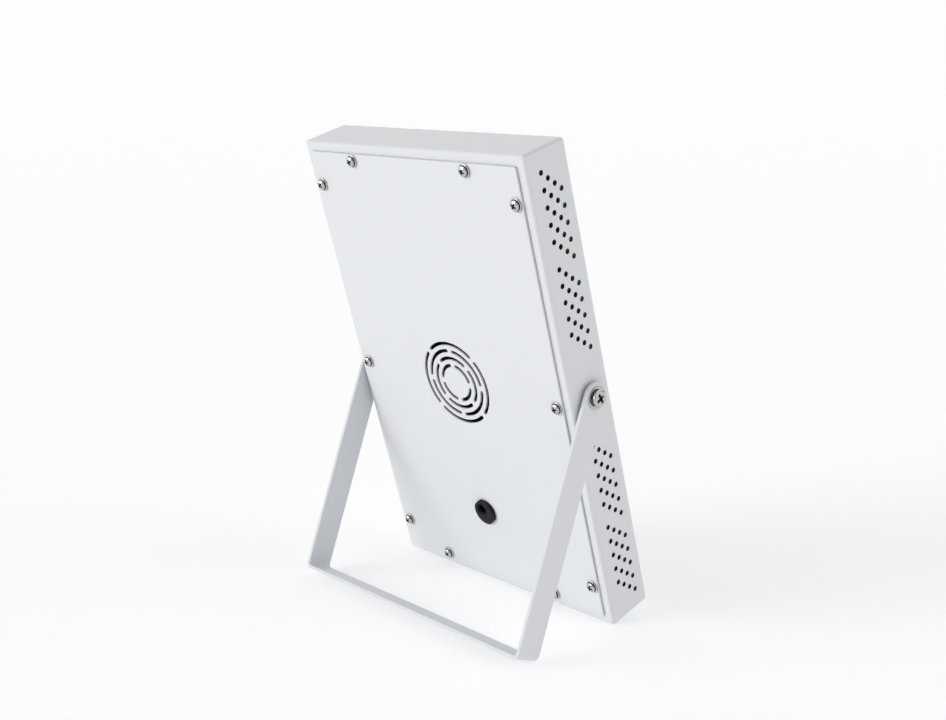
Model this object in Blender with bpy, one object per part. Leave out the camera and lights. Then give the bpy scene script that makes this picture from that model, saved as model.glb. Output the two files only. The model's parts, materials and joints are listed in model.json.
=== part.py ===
"""Fan-cooled light panel on a bail stand.

Everything is modelled in the panel's own frame: X runs across the panel, Y from the rear cover
towards the lens side, Z up the panel, with the middle of the rear bottom edge at the origin.
The panel is then leaned back onto its bail and the assembly is stood on the plane Z = 0.
"""

import math

import bmesh
import bpy
from mathutils import Matrix, Vector

MM = 0.001

# Overall sizes.
PANEL_WIDTH = 188 * MM
PANEL_HEIGHT = 300 * MM
PANEL_DEPTH = 33.4 * MM
WALL = 1.2 * MM
EDGE_RADIUS = 2 * MM
GAP = 0.3 * MM
CLEARANCE = 0.35 * MM
HALF_WIDTH = PANEL_WIDTH / 2
MIDDLE = PANEL_HEIGHT / 2

# Housing openings.
REAR_FLANGE = 15 * MM
FRONT_BORDER = 10 * MM
VENT_RADIUS = 1.6 * MM
VENT_STEP = 4.35 * MM
VENT_ROWS = 5
VENT_COLUMNS = 4
VENT_END = 11.5 * MM
VENT_GROUP_PITCH = (PANEL_HEIGHT - 2 * VENT_END) / 5
VENT_ROW_PITCH = (VENT_GROUP_PITCH - 1.42 * VENT_STEP) / VENT_ROWS
VENT_DEPTH = PANEL_DEPTH / 2 + 0.5 * MM
VENT_SEGMENTS = 6
SIDE_HOLE_DROP = 19.6 * MM
SIDE_HOLE_RADIUS = 1.5 * MM

# Rear cover and its screws.
COVER_MARGIN = 6 * MM
COVER_THICKNESS = 1.2 * MM
COVER_SCREW_INSET = 10.2 * MM
COVER_SCREW_RISE = MIDDLE - 27.2 * MM
COVER_SCREW_SPREAD = 48.8 * MM
GRILLE_RADIUS = 27.7 * MM
GRILLE_PITCH = 4.95 * MM
GRILLE_SLOT = 2.4 * MM
GRILLE_BRIDGE = 2.9 * MM
GRILLE_RINGS = 4
SLOTS_PER_RING = 4

# Screws, by thread: shank radius, head radius and head height.
COVER_SHANK, COVER_HEAD, COVER_HEAD_HEIGHT = 1.9 * MM, 3.1 * MM, 2 * MM
COVER_SHANK_LENGTH = 8 * MM
COVER_WASHER_RADIUS, COVER_WASHER_THICKNESS = 4.1 * MM, 0.8 * MM
SMALL_SHANK, SMALL_HEAD, SMALL_HEAD_HEIGHT = 1.4 * MM, 2.7 * MM, 1.8 * MM
PIVOT_SHANK, PIVOT_HEAD, PIVOT_HEAD_HEIGHT = 2.4 * MM, 5.2 * MM, 1.9 * MM
RECESS_ARM = 1.1 * MM
RECESS_SHARE = 0.62

# Bail stand and its pivots.
BAIL_WIDTH = 18 * MM
BAIL_THICKNESS = 2.3 * MM
BAIL_BEND = 2 * MM
BAIL_STANDOFF = 1.9 * MM
BAIL_CLEARANCE = 0.9 * MM
BAIL_SWING = math.radians(36.9)
PIVOT_HEIGHT = MIDDLE + 0.6 * MM
PIVOT_DEPTH = PANEL_DEPTH / 2
CORNER_DISTANCE = math.hypot(PIVOT_HEIGHT - EDGE_RADIUS, PIVOT_DEPTH - EDGE_RADIUS) + EDGE_RADIUS
BAIL_REACH = CORNER_DISTANCE + BAIL_CLEARANCE
SPACER_RADIUS = 6.5 * MM
PIVOT_WASHER_RADIUS, PIVOT_WASHER_THICKNESS = 6.9 * MM, 0.6 * MM
SPRING_WASHER_RADIUS, SPRING_WASHER_THICKNESS = 4.7 * MM, 0.6 * MM
PIVOT_NUT_FLATS, PIVOT_NUT_THICKNESS = 8 * MM, 4 * MM

# Power inlet.
INLET_HEIGHT = 57 * MM
INLET_RADIUS = 8.9 * MM
INLET_FLATS = 16.4 * MM
INLET_TURN = math.radians(-48)
INLET_PROTRUSION = 1.9 * MM
INLET_SHIFT = 2.5 * MM
INLET_BARREL = 6.5 * MM
INLET_LENGTH = 12 * MM
INLET_MOUTH = 3.9 * MM
INLET_BORE = 3.1 * MM
INLET_PIN = 1 * MM
INLET_NUT_THICKNESS = 3 * MM
INLET_NUT_RADIUS = 9.6 * MM

# Lens plate, lamp board and heat sink, stacked from the lens side.
BOARD_CLEARANCE = 1 * MM
LENS_PLATE = 3 * MM
LENS_RIM = 2.4 * MM
LENS_RADIUS = 11 * MM
LENS_HEIGHT = 0.9 * MM
LAMP_COLUMNS, LAMP_ROWS = 5, 8
LAMP_PITCH = min(
    (PANEL_WIDTH - 2 * FRONT_BORDER) / LAMP_COLUMNS, (PANEL_HEIGHT - 2 * FRONT_BORDER) / LAMP_ROWS
)
LAMP_SIZE = 5 * MM
LAMP_HEIGHT = 0.8 * MM
BOARD_THICKNESS = 1.6 * MM
STUD_INSET = 6 * MM
STUD_RISE = MIDDLE - 30 * MM
STUD_RADIUS = 1.5 * MM
STUD_NUT_FLATS, STUD_NUT_THICKNESS = 5.5 * MM, 2.4 * MM
SINK_HALF_WIDTH = HALF_WIDTH - 24 * MM
SINK_EAR = 8 * MM
SINK_BASE = 2 * MM
FIN_HEIGHT = 6 * MM
FIN_THICKNESS = 1.2 * MM
FIN_PITCH = 5 * MM
FIN_COUNT = 24
SINK_SCREW_RISE = 45 * MM

# Fan.
FAN_SIZE = 60 * MM
FAN_THICKNESS = 15 * MM
FAN_BORE = FAN_SIZE / 2 - 1.6 * MM
FAN_SCREW_SPREAD = FAN_SIZE / 2 - 5 * MM
FAN_HEAD_POCKET = 2.6 * MM
FAN_HUB_RADIUS = 12.5 * MM
FAN_HUB_WALL = 1.3 * MM
FAN_BLADE_RADIUS = FAN_BORE - 1 * MM
FAN_BLADES = 7
FAN_MOTOR_PLATE = 1.6 * MM
FAN_STRUT = 3 * MM
FAN_SHAFT = 1.5 * MM
FAN_BEARING = 3 * MM
FAN_STATOR_RADIUS = 9.6 * MM

# Driver board.
DRIVER_HEIGHT = PANEL_HEIGHT - 50 * MM
DRIVER_WIDTH, DRIVER_LENGTH = 96 * MM, 46 * MM
DRIVER_STANDOFF = 10 * MM
DRIVER_HOLE_INSET = 4 * MM
DRIVER_SPACER_FLATS = 5 * MM
INDUCTOR_SIZE, INDUCTOR_HEIGHT = 12 * MM, 7 * MM
CAPACITOR_RADIUS, CAPACITOR_HEIGHT = 4 * MM, 9 * MM
CONNECTOR_SIZE, CONNECTOR_HEIGHT = 10 * MM, 6 * MM
INPUT_LEAD, FAN_LEAD = 1.7 * MM, 1 * MM

# Levels through the panel's depth, from the sizes above.
COVER_FACE = -GAP - COVER_THICKNESS
FRAME_FACE = PANEL_DEPTH - WALL
LENS_FRONT = FRAME_FACE - GAP
BOARD_FRONT = LENS_FRONT - LENS_PLATE - LENS_RIM - GAP
BOARD_REAR = BOARD_FRONT - BOARD_THICKNESS
SINK_FRONT = BOARD_REAR - GAP
SINK_REAR = SINK_FRONT - SINK_BASE - FIN_HEIGHT
FAN_FRONT = SINK_REAR - GAP
FAN_REAR = FAN_FRONT - FAN_THICKNESS
DRIVER_FRONT = BOARD_REAR - DRIVER_STANDOFF - 2 * GAP
DRIVER_REAR = DRIVER_FRONT - BOARD_THICKNESS

BAIL_HALF = HALF_WIDTH + BAIL_STANDOFF
OVERLAP = 0.5 * MM
SMOOTH_ANGLE = math.radians(32)
COARSE, ROUND, FINE = 8, 12, 24

ALONG_X = Matrix.Rotation(math.radians(90), 4, "Y")
ALONG_Y = Matrix.Rotation(math.radians(-90), 4, "X")
TO_REAR = (math.radians(90), 0, 0)
TO_FRONT = (math.radians(-90), 0, 0)

FINISHES = {
    "powder_coat": ((0.78, 0.79, 0.80), 0.5, 0.0),
    "nickel": ((0.72, 0.71, 0.68), 0.22, 1.0),
    "zinc": ((0.60, 0.60, 0.58), 0.35, 1.0),
    "black_plastic": ((0.02, 0.02, 0.022), 0.4, 0.0),
    "nylon": ((0.05, 0.05, 0.055), 0.5, 0.0),
    "fan_plastic": ((0.015, 0.015, 0.017), 0.45, 0.0),
    "aluminium": ((0.62, 0.63, 0.65), 0.4, 1.0),
    "board": ((0.85, 0.86, 0.84), 0.45, 0.0),
    "driver_board": ((0.02, 0.16, 0.07), 0.4, 0.0),
    "lens": ((0.55, 0.58, 0.62), 0.15, 0.0),
    "ferrite": ((0.08, 0.08, 0.085), 0.6, 0.0),
    "brass": ((0.72, 0.55, 0.25), 0.3, 1.0),
    "lead_red": ((0.35, 0.02, 0.02), 0.5, 0.0),
}


def clear_scene():
    for thing in list(bpy.data.objects):
        bpy.data.objects.remove(thing, do_unlink=True)


def finish(name):
    """The named finish as a material, made the first time it is asked for."""
    if name in bpy.data.materials:
        return bpy.data.materials[name]
    colour, roughness, metallic = FINISHES[name]
    material = bpy.data.materials.new(name)
    material.use_nodes = True
    shader = material.node_tree.nodes["Principled BSDF"]
    shader.inputs["Base Color"].default_value = (*colour, 1.0)
    shader.inputs["Roughness"].default_value = roughness
    shader.inputs["Metallic"].default_value = metallic
    material.diffuse_color = (*colour, 1.0)
    return material


def empty(name, parent=None, place=(0, 0, 0)):
    frame = bpy.data.objects.new(name, None)
    frame.parent = parent
    frame.location = place
    bpy.context.scene.collection.objects.link(frame)
    return frame


def close(shape, name):
    """Turns a bmesh into a closed mesh whose faces point out."""
    bmesh.ops.remove_doubles(shape, verts=shape.verts, dist=1e-6)
    bmesh.ops.recalc_face_normals(shape, faces=shape.faces)
    mesh = bpy.data.meshes.new(name)
    shape.to_mesh(mesh)
    shape.free()
    mesh.shade_smooth()
    mesh.set_sharp_from_angle(angle=SMOOTH_ANGLE)
    return mesh


def node(name, mesh, parent, finish_name, place=(0, 0, 0), turn=(0, 0, 0)):
    """One named piece: a mesh with its finish, placed in its parent's frame."""
    if not mesh.materials:
        mesh.materials.append(finish(finish_name))
    piece = bpy.data.objects.new(name, mesh)
    piece.parent = parent
    piece.location = place
    piece.rotation_euler = turn
    bpy.context.scene.collection.objects.link(piece)
    return piece


def work(piece, mesh, operation="DIFFERENCE"):
    """Cuts a piece with a mesh, or joins or intersects them, in the piece's own frame."""
    tool = bpy.data.objects.new(f"{piece.name}_{mesh.name}", mesh)
    tool.parent = piece
    tool.hide_render = True
    tool.display_type = "WIRE"
    bpy.context.scene.collection.objects.link(tool)
    modifier = piece.modifiers.new(mesh.name, "BOOLEAN")
    modifier.operation = operation
    modifier.solver = "EXACT"
    modifier.object = tool


def settled(piece):
    """The piece's mesh with its modifiers worked in. The piece and its tools are removed."""
    graph = bpy.context.evaluated_depsgraph_get()
    mesh = bpy.data.meshes.new_from_object(piece.evaluated_get(graph))
    for tool in list(piece.children):
        bpy.data.objects.remove(tool, do_unlink=True)
    bpy.data.objects.remove(piece, do_unlink=True)
    return mesh


def add_box(shape, low, high):
    """Adds a box between two corners and returns its edges."""
    low, high = Vector(low), Vector(high)
    made = bmesh.ops.create_cube(shape, size=1.0)["verts"]
    bmesh.ops.scale(shape, vec=high - low, verts=made)
    bmesh.ops.translate(shape, vec=(low + high) / 2, verts=made)
    return list({edge for vert in made for edge in vert.link_edges})


def boxes(name, corners):
    shape = bmesh.new()
    for low, high in corners:
        add_box(shape, low, high)
    return close(shape, name)


def rounded_box(name, low, high, radius, segments=2, along=None):
    """A box with rounded edges: all of them, or those that run along one axis."""
    shape = bmesh.new()
    edges = add_box(shape, low, high)
    if along is not None:
        edges = [edge for edge in edges if abs((edge.verts[0].co - edge.verts[1].co)[along]) > radius]
    bmesh.ops.bevel(
        shape, geom=edges, offset=radius, segments=segments, profile=0.5, affect="EDGES", material=-1
    )
    return close(shape, name)


def add_rod(shape, radius, base, top, segments=ROUND, turn=Matrix()):
    """Adds a rod along Z from base to top, then turns it with a matrix."""
    bmesh.ops.create_cone(
        shape,
        cap_ends=True,
        segments=segments,
        radius1=radius,
        radius2=radius,
        depth=top - base,
        matrix=turn @ Matrix.Translation((0, 0, (base + top) / 2)),
    )


def rods(name, radius, base, top, places, axis, segments=ROUND):
    """Equal rods, each from base to top along the axis, at their places."""
    shape = bmesh.new()
    for place in places:
        add_rod(shape, radius, base, top, segments, Matrix.Translation(place) @ axis)
    return close(shape, name)


def turned(name, profile, segments=ROUND, angle=math.tau, closed=True):
    """Turns a profile of (radius, height) points about Z. A closed profile makes a ring."""
    shape = bmesh.new()
    verts = [shape.verts.new((radius, 0, height)) for radius, height in profile]
    edges = [shape.edges.new(pair) for pair in zip(verts, verts[1:])]
    if closed:
        edges.append(shape.edges.new((verts[-1], verts[0])))
    full = angle >= math.tau
    start = edges if full else [shape.faces.new(verts)]
    turn = {"cent": (0, 0, 0), "axis": (0, 0, 1), "angle": angle, "steps": segments}
    bmesh.ops.spin(shape, geom=start, use_merge=full, **turn)
    return close(shape, name)


def ring(name, inner, outer, base, top, segments=ROUND):
    return turned(name, [(inner, base), (outer, base), (outer, top), (inner, top)], segments)


def prism(name, outline, base, top, axis):
    """An outline of (x, y) points drawn out along Z from base to top, then turned to the axis."""
    shape = bmesh.new()
    add_prism(shape, outline, base, top)
    shape.transform(axis)
    return close(shape, name)


def add_prism(shape, outline, base, top):
    face = shape.faces.new([shape.verts.new((x, y, base)) for x, y in outline])
    made = bmesh.ops.extrude_face_region(shape, geom=[face])["geom"]
    moved = [item for item in made if isinstance(item, bmesh.types.BMVert)]
    bmesh.ops.translate(shape, vec=(0, 0, top - base), verts=moved)


def arc(centre, radius, start, end, steps):
    """Points on an arc, both ends included."""
    angles = [start + (end - start) * step / steps for step in range(steps + 1)]
    return [(centre[0] + radius * math.cos(a), centre[1] + radius * math.sin(a)) for a in angles]


def cross_recess(name, arm, reach, base, top):
    """A cross-shaped recess cutter."""
    half = arm / 2
    quarter = [(reach, -half), (reach, half), (half, half)]
    outline = []
    for turn in range(4):
        spin = Matrix.Rotation(turn * math.pi / 2, 2)
        outline += [tuple(spin @ Vector(point)) for point in quarter]
    return prism(name, outline, base, top, Matrix())


def nut_mesh(name, flats, bore, base, top):
    """A hexagonal nut or standoff with a round bore, from base to top."""
    corner = flats / 2 / math.cos(math.pi / 6)
    hexagon = arc((0, 0), corner, 0, math.tau, 6)[:-1]
    blank = node(f"{name}_blank", prism(name, hexagon, base, top, Matrix()), None, "zinc")
    work(blank, rods("bore", bore, base - OVERLAP, top + OVERLAP, [(0, 0, 0)], Matrix(), COARSE))
    return settled(blank)


def screw_mesh(name, shank, head, head_height, length, washer=None, segments=ROUND):
    """A pan-head cross-recess screw. Its seat is at Z = 0 and its head stands up Z."""
    seat = washer[1] if washer else 0.0
    top = seat + head_height
    profile = [(0, -length), (shank * 0.7, -length), (shank, -length + shank * 0.4), (shank, 0)]
    if washer:
        profile += [(washer[0], 0), (washer[0], seat)]
    profile += [
        (head, seat),
        (head, seat + head_height * 0.4),
        (head * 0.65, top),
        (0, top),
    ]
    blank = node(f"{name}_blank", turned(name, profile, segments, closed=False), None, "nickel")
    work(blank, cross_recess("recess", head * 0.3, head * RECESS_SHARE, top - RECESS_ARM, top + OVERLAP))
    return settled(blank)


def stud_places():
    """Where the six studs of the front border stand, in the panel's X and Z."""
    side = HALF_WIDTH - STUD_INSET
    places = [(sign * side, MIDDLE + rise) for sign in (-1, 1) for rise in (-STUD_RISE, STUD_RISE)]
    return places + [(0, STUD_INSET), (0, PANEL_HEIGHT - STUD_INSET)]


def cover_screw_places():
    side = HALF_WIDTH - COVER_SCREW_INSET
    rises = (COVER_SCREW_RISE, 0, -COVER_SCREW_RISE)
    sides = [(sign * side, MIDDLE + rise) for sign in (-1, 1) for rise in rises]
    heights = (PANEL_HEIGHT - COVER_SCREW_INSET, COVER_SCREW_INSET)
    ends = [(sign * COVER_SCREW_SPREAD, height) for height in heights for sign in (-1, 1)]
    return ends[:2] + sides + ends[2:]


def vent_places():
    """Hole centres (Y, Z) of one side: four groups of slanted rows, two each side of the pivot."""
    places = []
    for group in (-2, -1, 1, 2):
        for row in range(VENT_ROWS):
            for column in range(VENT_COLUMNS):
                across = (column - (VENT_COLUMNS - 1) / 2) * VENT_STEP
                down = (row - (VENT_ROWS - 1) / 2) * VENT_ROW_PITCH + across
                places.append((VENT_DEPTH + across, MIDDLE + group * VENT_GROUP_PITCH - down))
    return places


def lamp_places():
    columns = [(i - (LAMP_COLUMNS - 1) / 2) * LAMP_PITCH for i in range(LAMP_COLUMNS)]
    rows = [MIDDLE + (i - (LAMP_ROWS - 1) / 2) * LAMP_PITCH for i in range(LAMP_ROWS)]
    return [(x, z) for z in rows for x in columns]


def small_screw(name, length):
    return screw_mesh(name, SMALL_SHANK, SMALL_HEAD, SMALL_HEAD_HEIGHT, length, None, COARSE)


def sink_screw_places():
    side = SINK_HALF_WIDTH + SINK_EAR / 2
    return [(sx * side, MIDDLE + sz * SINK_SCREW_RISE) for sz in (1, -1) for sx in (-1, 1)]


def fan_screw_places():
    spread = FAN_SCREW_SPREAD
    return [(sx * spread, MIDDLE + sz * spread) for sz in (1, -1) for sx in (-1, 1)]


def driver_hole_places():
    x = DRIVER_WIDTH / 2 - DRIVER_HOLE_INSET
    z = DRIVER_LENGTH / 2 - DRIVER_HOLE_INSET
    return [(-x, DRIVER_HEIGHT + z), (x, DRIVER_HEIGHT - z)]


def at_depth(places, depth=0.0):
    return [(x, depth, z) for x, z in places]


def housing(panel):
    """The folded sheet box: four walls, the rear flange, the front border and its studs."""
    shell = rounded_box(
        "box", (-HALF_WIDTH, 0, 0), (HALF_WIDTH, PANEL_DEPTH, PANEL_HEIGHT), EDGE_RADIUS
    )
    shell = node("housing", shell, panel, "powder_coat")
    inside = HALF_WIDTH - WALL
    hollow = boxes("hollow", [((-inside, WALL, WALL), (inside, FRAME_FACE, PANEL_HEIGHT - WALL))])
    work(shell, hollow)
    rear, front = HALF_WIDTH - REAR_FLANGE, HALF_WIDTH - FRONT_BORDER
    rear_top, front_top = PANEL_HEIGHT - REAR_FLANGE, PANEL_HEIGHT - FRONT_BORDER
    openings = [
        ((-rear, -OVERLAP, REAR_FLANGE), (rear, WALL + OVERLAP, rear_top)),
        ((-front, FRAME_FACE - OVERLAP, FRONT_BORDER), (front, PANEL_DEPTH + OVERLAP, front_top)),
    ]
    work(shell, boxes("openings", openings))
    reach = WALL + OVERLAP
    vents = [(sign * HALF_WIDTH, y, z) for sign in (-1, 1) for y, z in vent_places()]
    work(shell, rods("vents", VENT_RADIUS, -reach, reach, vents, ALONG_X, VENT_SEGMENTS))
    pivots = [(sign * HALF_WIDTH, PIVOT_DEPTH, PIVOT_HEIGHT) for sign in (-1, 1)]
    work(shell, rods("pivots", PIVOT_SHANK + CLEARANCE, -reach, reach, pivots, ALONG_X))
    side_holes = [(x, y, z - SIDE_HOLE_DROP) for x, y, z in pivots]
    work(shell, rods("side_holes", SIDE_HOLE_RADIUS, -reach, reach, side_holes, ALONG_X, COARSE))
    holes = at_depth(cover_screw_places())
    work(shell, rods("screws", COVER_SHANK + CLEARANCE, -reach, reach, holes, ALONG_Y, 12))
    nut_rear = SINK_FRONT - STUD_NUT_THICKNESS - STUD_RADIUS
    studs = rods("studs", STUD_RADIUS, nut_rear, FRAME_FACE + WALL / 2, at_depth(stud_places()), ALONG_Y, 8)
    work(shell, studs, "UNION")


def grille_slots():
    """The fan grille: rings of arc slots with round ends, the bridges staggered by half a slot."""
    shape = bmesh.new()
    for ring_index in range(GRILLE_RINGS):
        middle = GRILLE_RADIUS - GRILLE_SLOT / 2 - ring_index * GRILLE_PITCH
        half_bridge = (GRILLE_BRIDGE + GRILLE_SLOT) / 2 / middle
        first = math.pi / 4 * (1 - ring_index % 2)
        for slot in range(SLOTS_PER_RING):
            start = first + slot * math.tau / SLOTS_PER_RING + half_bridge
            end = first + (slot + 1) * math.tau / SLOTS_PER_RING - half_bridge
            add_prism(shape, slot_outline(middle, start, end), -OVERLAP, COVER_THICKNESS + OVERLAP)
    shape.transform(Matrix.Translation((0, COVER_FACE, MIDDLE)) @ ALONG_Y)
    return close(shape, "grille")


def slot_outline(middle, start, end):
    """One arc slot as a closed outline, its two ends rounded."""
    half = GRILLE_SLOT / 2
    steps = 6
    far = (middle * math.cos(end), middle * math.sin(end))
    near = (middle * math.cos(start), middle * math.sin(start))
    outline = arc((0, 0), middle + half, start, end, steps)
    outline += arc(far, half, end, end + math.pi, 3)[1:-1]
    outline += arc((0, 0), middle - half, end, start, steps)
    outline += arc(near, half, start + math.pi, start + math.tau, 3)[1:-1]
    return outline


def rear_cover(panel):
    low = (COVER_MARGIN - HALF_WIDTH, COVER_FACE, COVER_MARGIN)
    high = (HALF_WIDTH - COVER_MARGIN, -GAP, PANEL_HEIGHT - COVER_MARGIN)
    plate = node("rear_cover", rounded_box("plate", low, high, 1 * MM, 2, along=1), panel, "powder_coat")
    base, top = COVER_FACE - OVERLAP, OVERLAP
    holes = at_depth(cover_screw_places())
    work(plate, rods("screws", COVER_SHANK + CLEARANCE, base, top, holes, ALONG_Y, 12))
    inlet = [(0, 0, INLET_HEIGHT)]
    work(plate, rods("inlet", INLET_BARREL + CLEARANCE, base, top, inlet, ALONG_Y, FINE))
    work(plate, grille_slots())


def cover_screws(panel):
    washer = (COVER_WASHER_RADIUS, COVER_WASHER_THICKNESS)
    mesh = screw_mesh("cover_screw", COVER_SHANK, COVER_HEAD, COVER_HEAD_HEIGHT, COVER_SHANK_LENGTH, washer)
    for number, (x, z) in enumerate(cover_screw_places(), 1):
        node(f"cover_screw_{number:02d}", mesh, panel, "nickel", (x, COVER_FACE - GAP, z), TO_REAR)


def bail_stand(bail):
    """A flat strip bent into a U. Its hinge axis is X through the origin, its arms run down Z."""
    inner, outer = BAIL_HALF, BAIL_HALF + BAIL_THICKNESS
    foot = -BAIL_REACH - BAIL_THICKNESS
    top = BAIL_WIDTH
    bend, outer_bend = BAIL_BEND, BAIL_BEND + BAIL_THICKNESS
    corner = (inner - bend, -BAIL_REACH + bend)
    right_out = arc(corner, outer_bend, 0, -math.pi / 2, 4)
    right_in = arc(corner, bend, -math.pi / 2, 0, 4)
    half = [(outer, top)] + right_out
    half_in = right_in + [(inner, top)]
    left = [(-x, z) for x, z in reversed(half)]
    left_in = [(-x, z) for x, z in reversed(half_in)]
    outline = half + left + left_in + half_in
    width = BAIL_WIDTH / 2
    upright = Matrix.Rotation(math.radians(90), 4, "X")
    strip = node("bail_stand", prism("strip", outline, -width, width, upright), bail, "powder_coat")
    stadium = arc((0, 0), width, 0, math.pi, 12) + [(-width, foot - 2 * width), (width, foot - 2 * width)]
    # The outline's first axis lies along the panel's depth and its second up the arm.
    across = Matrix(((0, 0, 1, 0), (1, 0, 0, 0), (0, 1, 0, 0), (0, 0, 0, 1)))
    work(strip, prism("ends", stadium, -outer - width, outer + width, across), "INTERSECT")
    reach = BAIL_THICKNESS + OVERLAP
    holes = [(sign * BAIL_HALF, 0, 0) for sign in (-1, 1)]
    work(strip, rods("holes", PIVOT_SHANK + CLEARANCE, -reach, reach, holes, ALONG_X))


def pivots(panel):
    """The clamped stack on each side: nut, wall, spacer, arm, flat washer, split washer, screw."""
    bore = PIVOT_SHANK + CLEARANCE
    spacer = ring("spacer", bore, SPACER_RADIUS, 0, BAIL_STANDOFF - 2 * GAP)
    flat = ring("flat_washer", bore, PIVOT_WASHER_RADIUS, 0, PIVOT_WASHER_THICKNESS, FINE)
    split = turned(
        "spring_washer",
        [(bore, 0), (SPRING_WASHER_RADIUS, 0), (SPRING_WASHER_RADIUS, SPRING_WASHER_THICKNESS),
         (bore, SPRING_WASHER_THICKNESS)],
        ROUND, math.radians(345),
    )
    nut = nut_mesh("nut", PIVOT_NUT_FLATS, bore, 0, PIVOT_NUT_THICKNESS)
    flat_seat = BAIL_HALF + BAIL_THICKNESS + GAP
    split_seat = flat_seat + PIVOT_WASHER_THICKNESS + GAP
    head_seat = split_seat + SPRING_WASHER_THICKNESS + GAP
    length = head_seat - (HALF_WIDTH - WALL - GAP - PIVOT_NUT_THICKNESS) + OVERLAP
    screw = screw_mesh("pivot_screw", PIVOT_SHANK, PIVOT_HEAD, PIVOT_HEAD_HEIGHT, length)
    stack = (
        ("pivot_nut", nut, HALF_WIDTH - WALL - GAP - PIVOT_NUT_THICKNESS, "zinc"),
        ("pivot_spacer", spacer, HALF_WIDTH + GAP, "nylon"),
        ("pivot_washer", flat, flat_seat, "nickel"),
        ("pivot_spring_washer", split, split_seat, "nickel"),
        ("pivot_screw", screw, head_seat, "nickel"),
    )
    for side, sign in (("left", -1), ("right", 1)):
        for name, mesh, seat, finish_name in stack:
            place = (sign * seat, PIVOT_DEPTH, PIVOT_HEIGHT)
            node(f"{name}_{side}", mesh, panel, finish_name, place, (0, sign * math.radians(90), 0))


def inlet(panel):
    """The power inlet: a moulded body with a bezel cut by two flats, its ring nut and contacts.

    The mouth and its pin are nearer to one flat than to the other.
    """
    seat = COVER_FACE - GAP
    shift = Matrix.Rotation(INLET_TURN, 3, "Z") @ Vector((-INLET_SHIFT, 0, 0))
    front = INLET_PROTRUSION
    profile = [
        (0, -INLET_LENGTH),
        (INLET_BARREL, -INLET_LENGTH),
        (INLET_BARREL, 0),
        (INLET_RADIUS, 0),
        (INLET_RADIUS, front * 0.45),
        (INLET_RADIUS - 0.6 * MM, front * 0.8),
        (INLET_RADIUS - 1.5 * MM, front),
        (0, front),
    ]
    place = (0, seat, INLET_HEIGHT)
    body = node("inlet_body", turned("body", profile, FINE, closed=False), panel, "black_plastic", place, TO_REAR)
    mouth = [
        (0, -INLET_LENGTH + 2 * MM),
        (INLET_BORE, -INLET_LENGTH + 2 * MM),
        (INLET_BORE, front - 2 * MM),
        (INLET_MOUTH, front),
        (INLET_MOUTH, front + OVERLAP),
        (0, front + OVERLAP),
    ]
    funnel = turned("mouth", mouth, ROUND, closed=False)
    funnel.transform(Matrix.Translation(shift))
    work(body, funnel)
    work(body, rods("pin_seat", INLET_PIN + CLEARANCE, -INLET_LENGTH - OVERLAP, 0, [shift], Matrix(), 10))
    flats = INLET_FLATS / 2
    sides = [
        ((flats, -INLET_RADIUS * 2, -OVERLAP / 2), (INLET_RADIUS * 2, INLET_RADIUS * 2, front * 2)),
        ((-INLET_RADIUS * 2, -INLET_RADIUS * 2, -OVERLAP / 2), (-flats, INLET_RADIUS * 2, front * 2)),
    ]
    trim = boxes("flats", sides)
    trim.transform(Matrix.Rotation(INLET_TURN, 4, "Z"))
    work(body, trim)
    pin = [
        (0, -INLET_LENGTH - 4 * MM),
        (INLET_PIN, -INLET_LENGTH - 4 * MM),
        (INLET_PIN, -1 * MM),
        (INLET_PIN * 0.6, -0.4 * MM),
        (0, -0.4 * MM),
    ]
    pin_place = (shift.x, seat, INLET_HEIGHT + shift.y)
    node("inlet_pin", turned("pin", pin, 10, closed=False), panel, "brass", pin_place, TO_REAR)
    nut = ring("inlet_nut", INLET_BARREL + CLEARANCE, INLET_NUT_RADIUS, -INLET_NUT_THICKNESS, 0, FINE)
    node("inlet_nut", nut, panel, "black_plastic", (0, 0, INLET_HEIGHT), TO_REAR)
    tag = boxes("tag", [((2.5 * MM, -1.4 * MM, -5 * MM), (3.1 * MM, 1.4 * MM, 0))])
    place = (0, seat + INLET_LENGTH + GAP, INLET_HEIGHT)
    node("inlet_contact", tag, panel, "brass", place, TO_REAR)


def fan(panel):
    """An axial fan blowing out through the grille: frame, bearing, stator, shaft and rotor."""
    axis = empty("fan_axis", panel, (0, FAN_REAR, MIDDLE))
    axis.rotation_euler = TO_FRONT
    half = FAN_SIZE / 2
    frame = rounded_box("frame", (-half, -half, 0), (half, half, FAN_THICKNESS), 3 * MM, 2, along=2)
    frame = node("fan_frame", frame, axis, "fan_plastic")
    work(frame, rods("bore", FAN_BORE, -OVERLAP, FAN_THICKNESS + OVERLAP, [(0, 0, 0)], Matrix(), 32))
    corners = [(sx * FAN_SCREW_SPREAD, sy * FAN_SCREW_SPREAD, 0) for sx in (-1, 1) for sy in (-1, 1)]
    screw_hole = SMALL_SHANK + 2 * CLEARANCE
    work(frame, rods("screws", screw_hole, -OVERLAP, FAN_THICKNESS + OVERLAP, corners, Matrix(), COARSE))
    pocket = SMALL_HEAD + CLEARANCE
    work(frame, rods("pockets", pocket, -OVERLAP, FAN_HEAD_POCKET, corners, Matrix(), ROUND))
    plate = FAN_HUB_RADIUS + 1 * MM
    work(frame, motor_mount(plate), "UNION")
    seat = FAN_MOTOR_PLATE + GAP
    tube_top = FAN_THICKNESS - 4 * MM
    shaft_hole = FAN_SHAFT + 0.3 * MM
    node("fan_bearing", ring("bearing", shaft_hole, FAN_BEARING, seat, tube_top), axis, "brass")
    stator = ring("stator", FAN_BEARING + GAP, FAN_STATOR_RADIUS, seat + 1 * MM, tube_top - 1 * MM)
    node("fan_stator", stator, axis, "ferrite")
    rotor(axis, tube_top)


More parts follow.
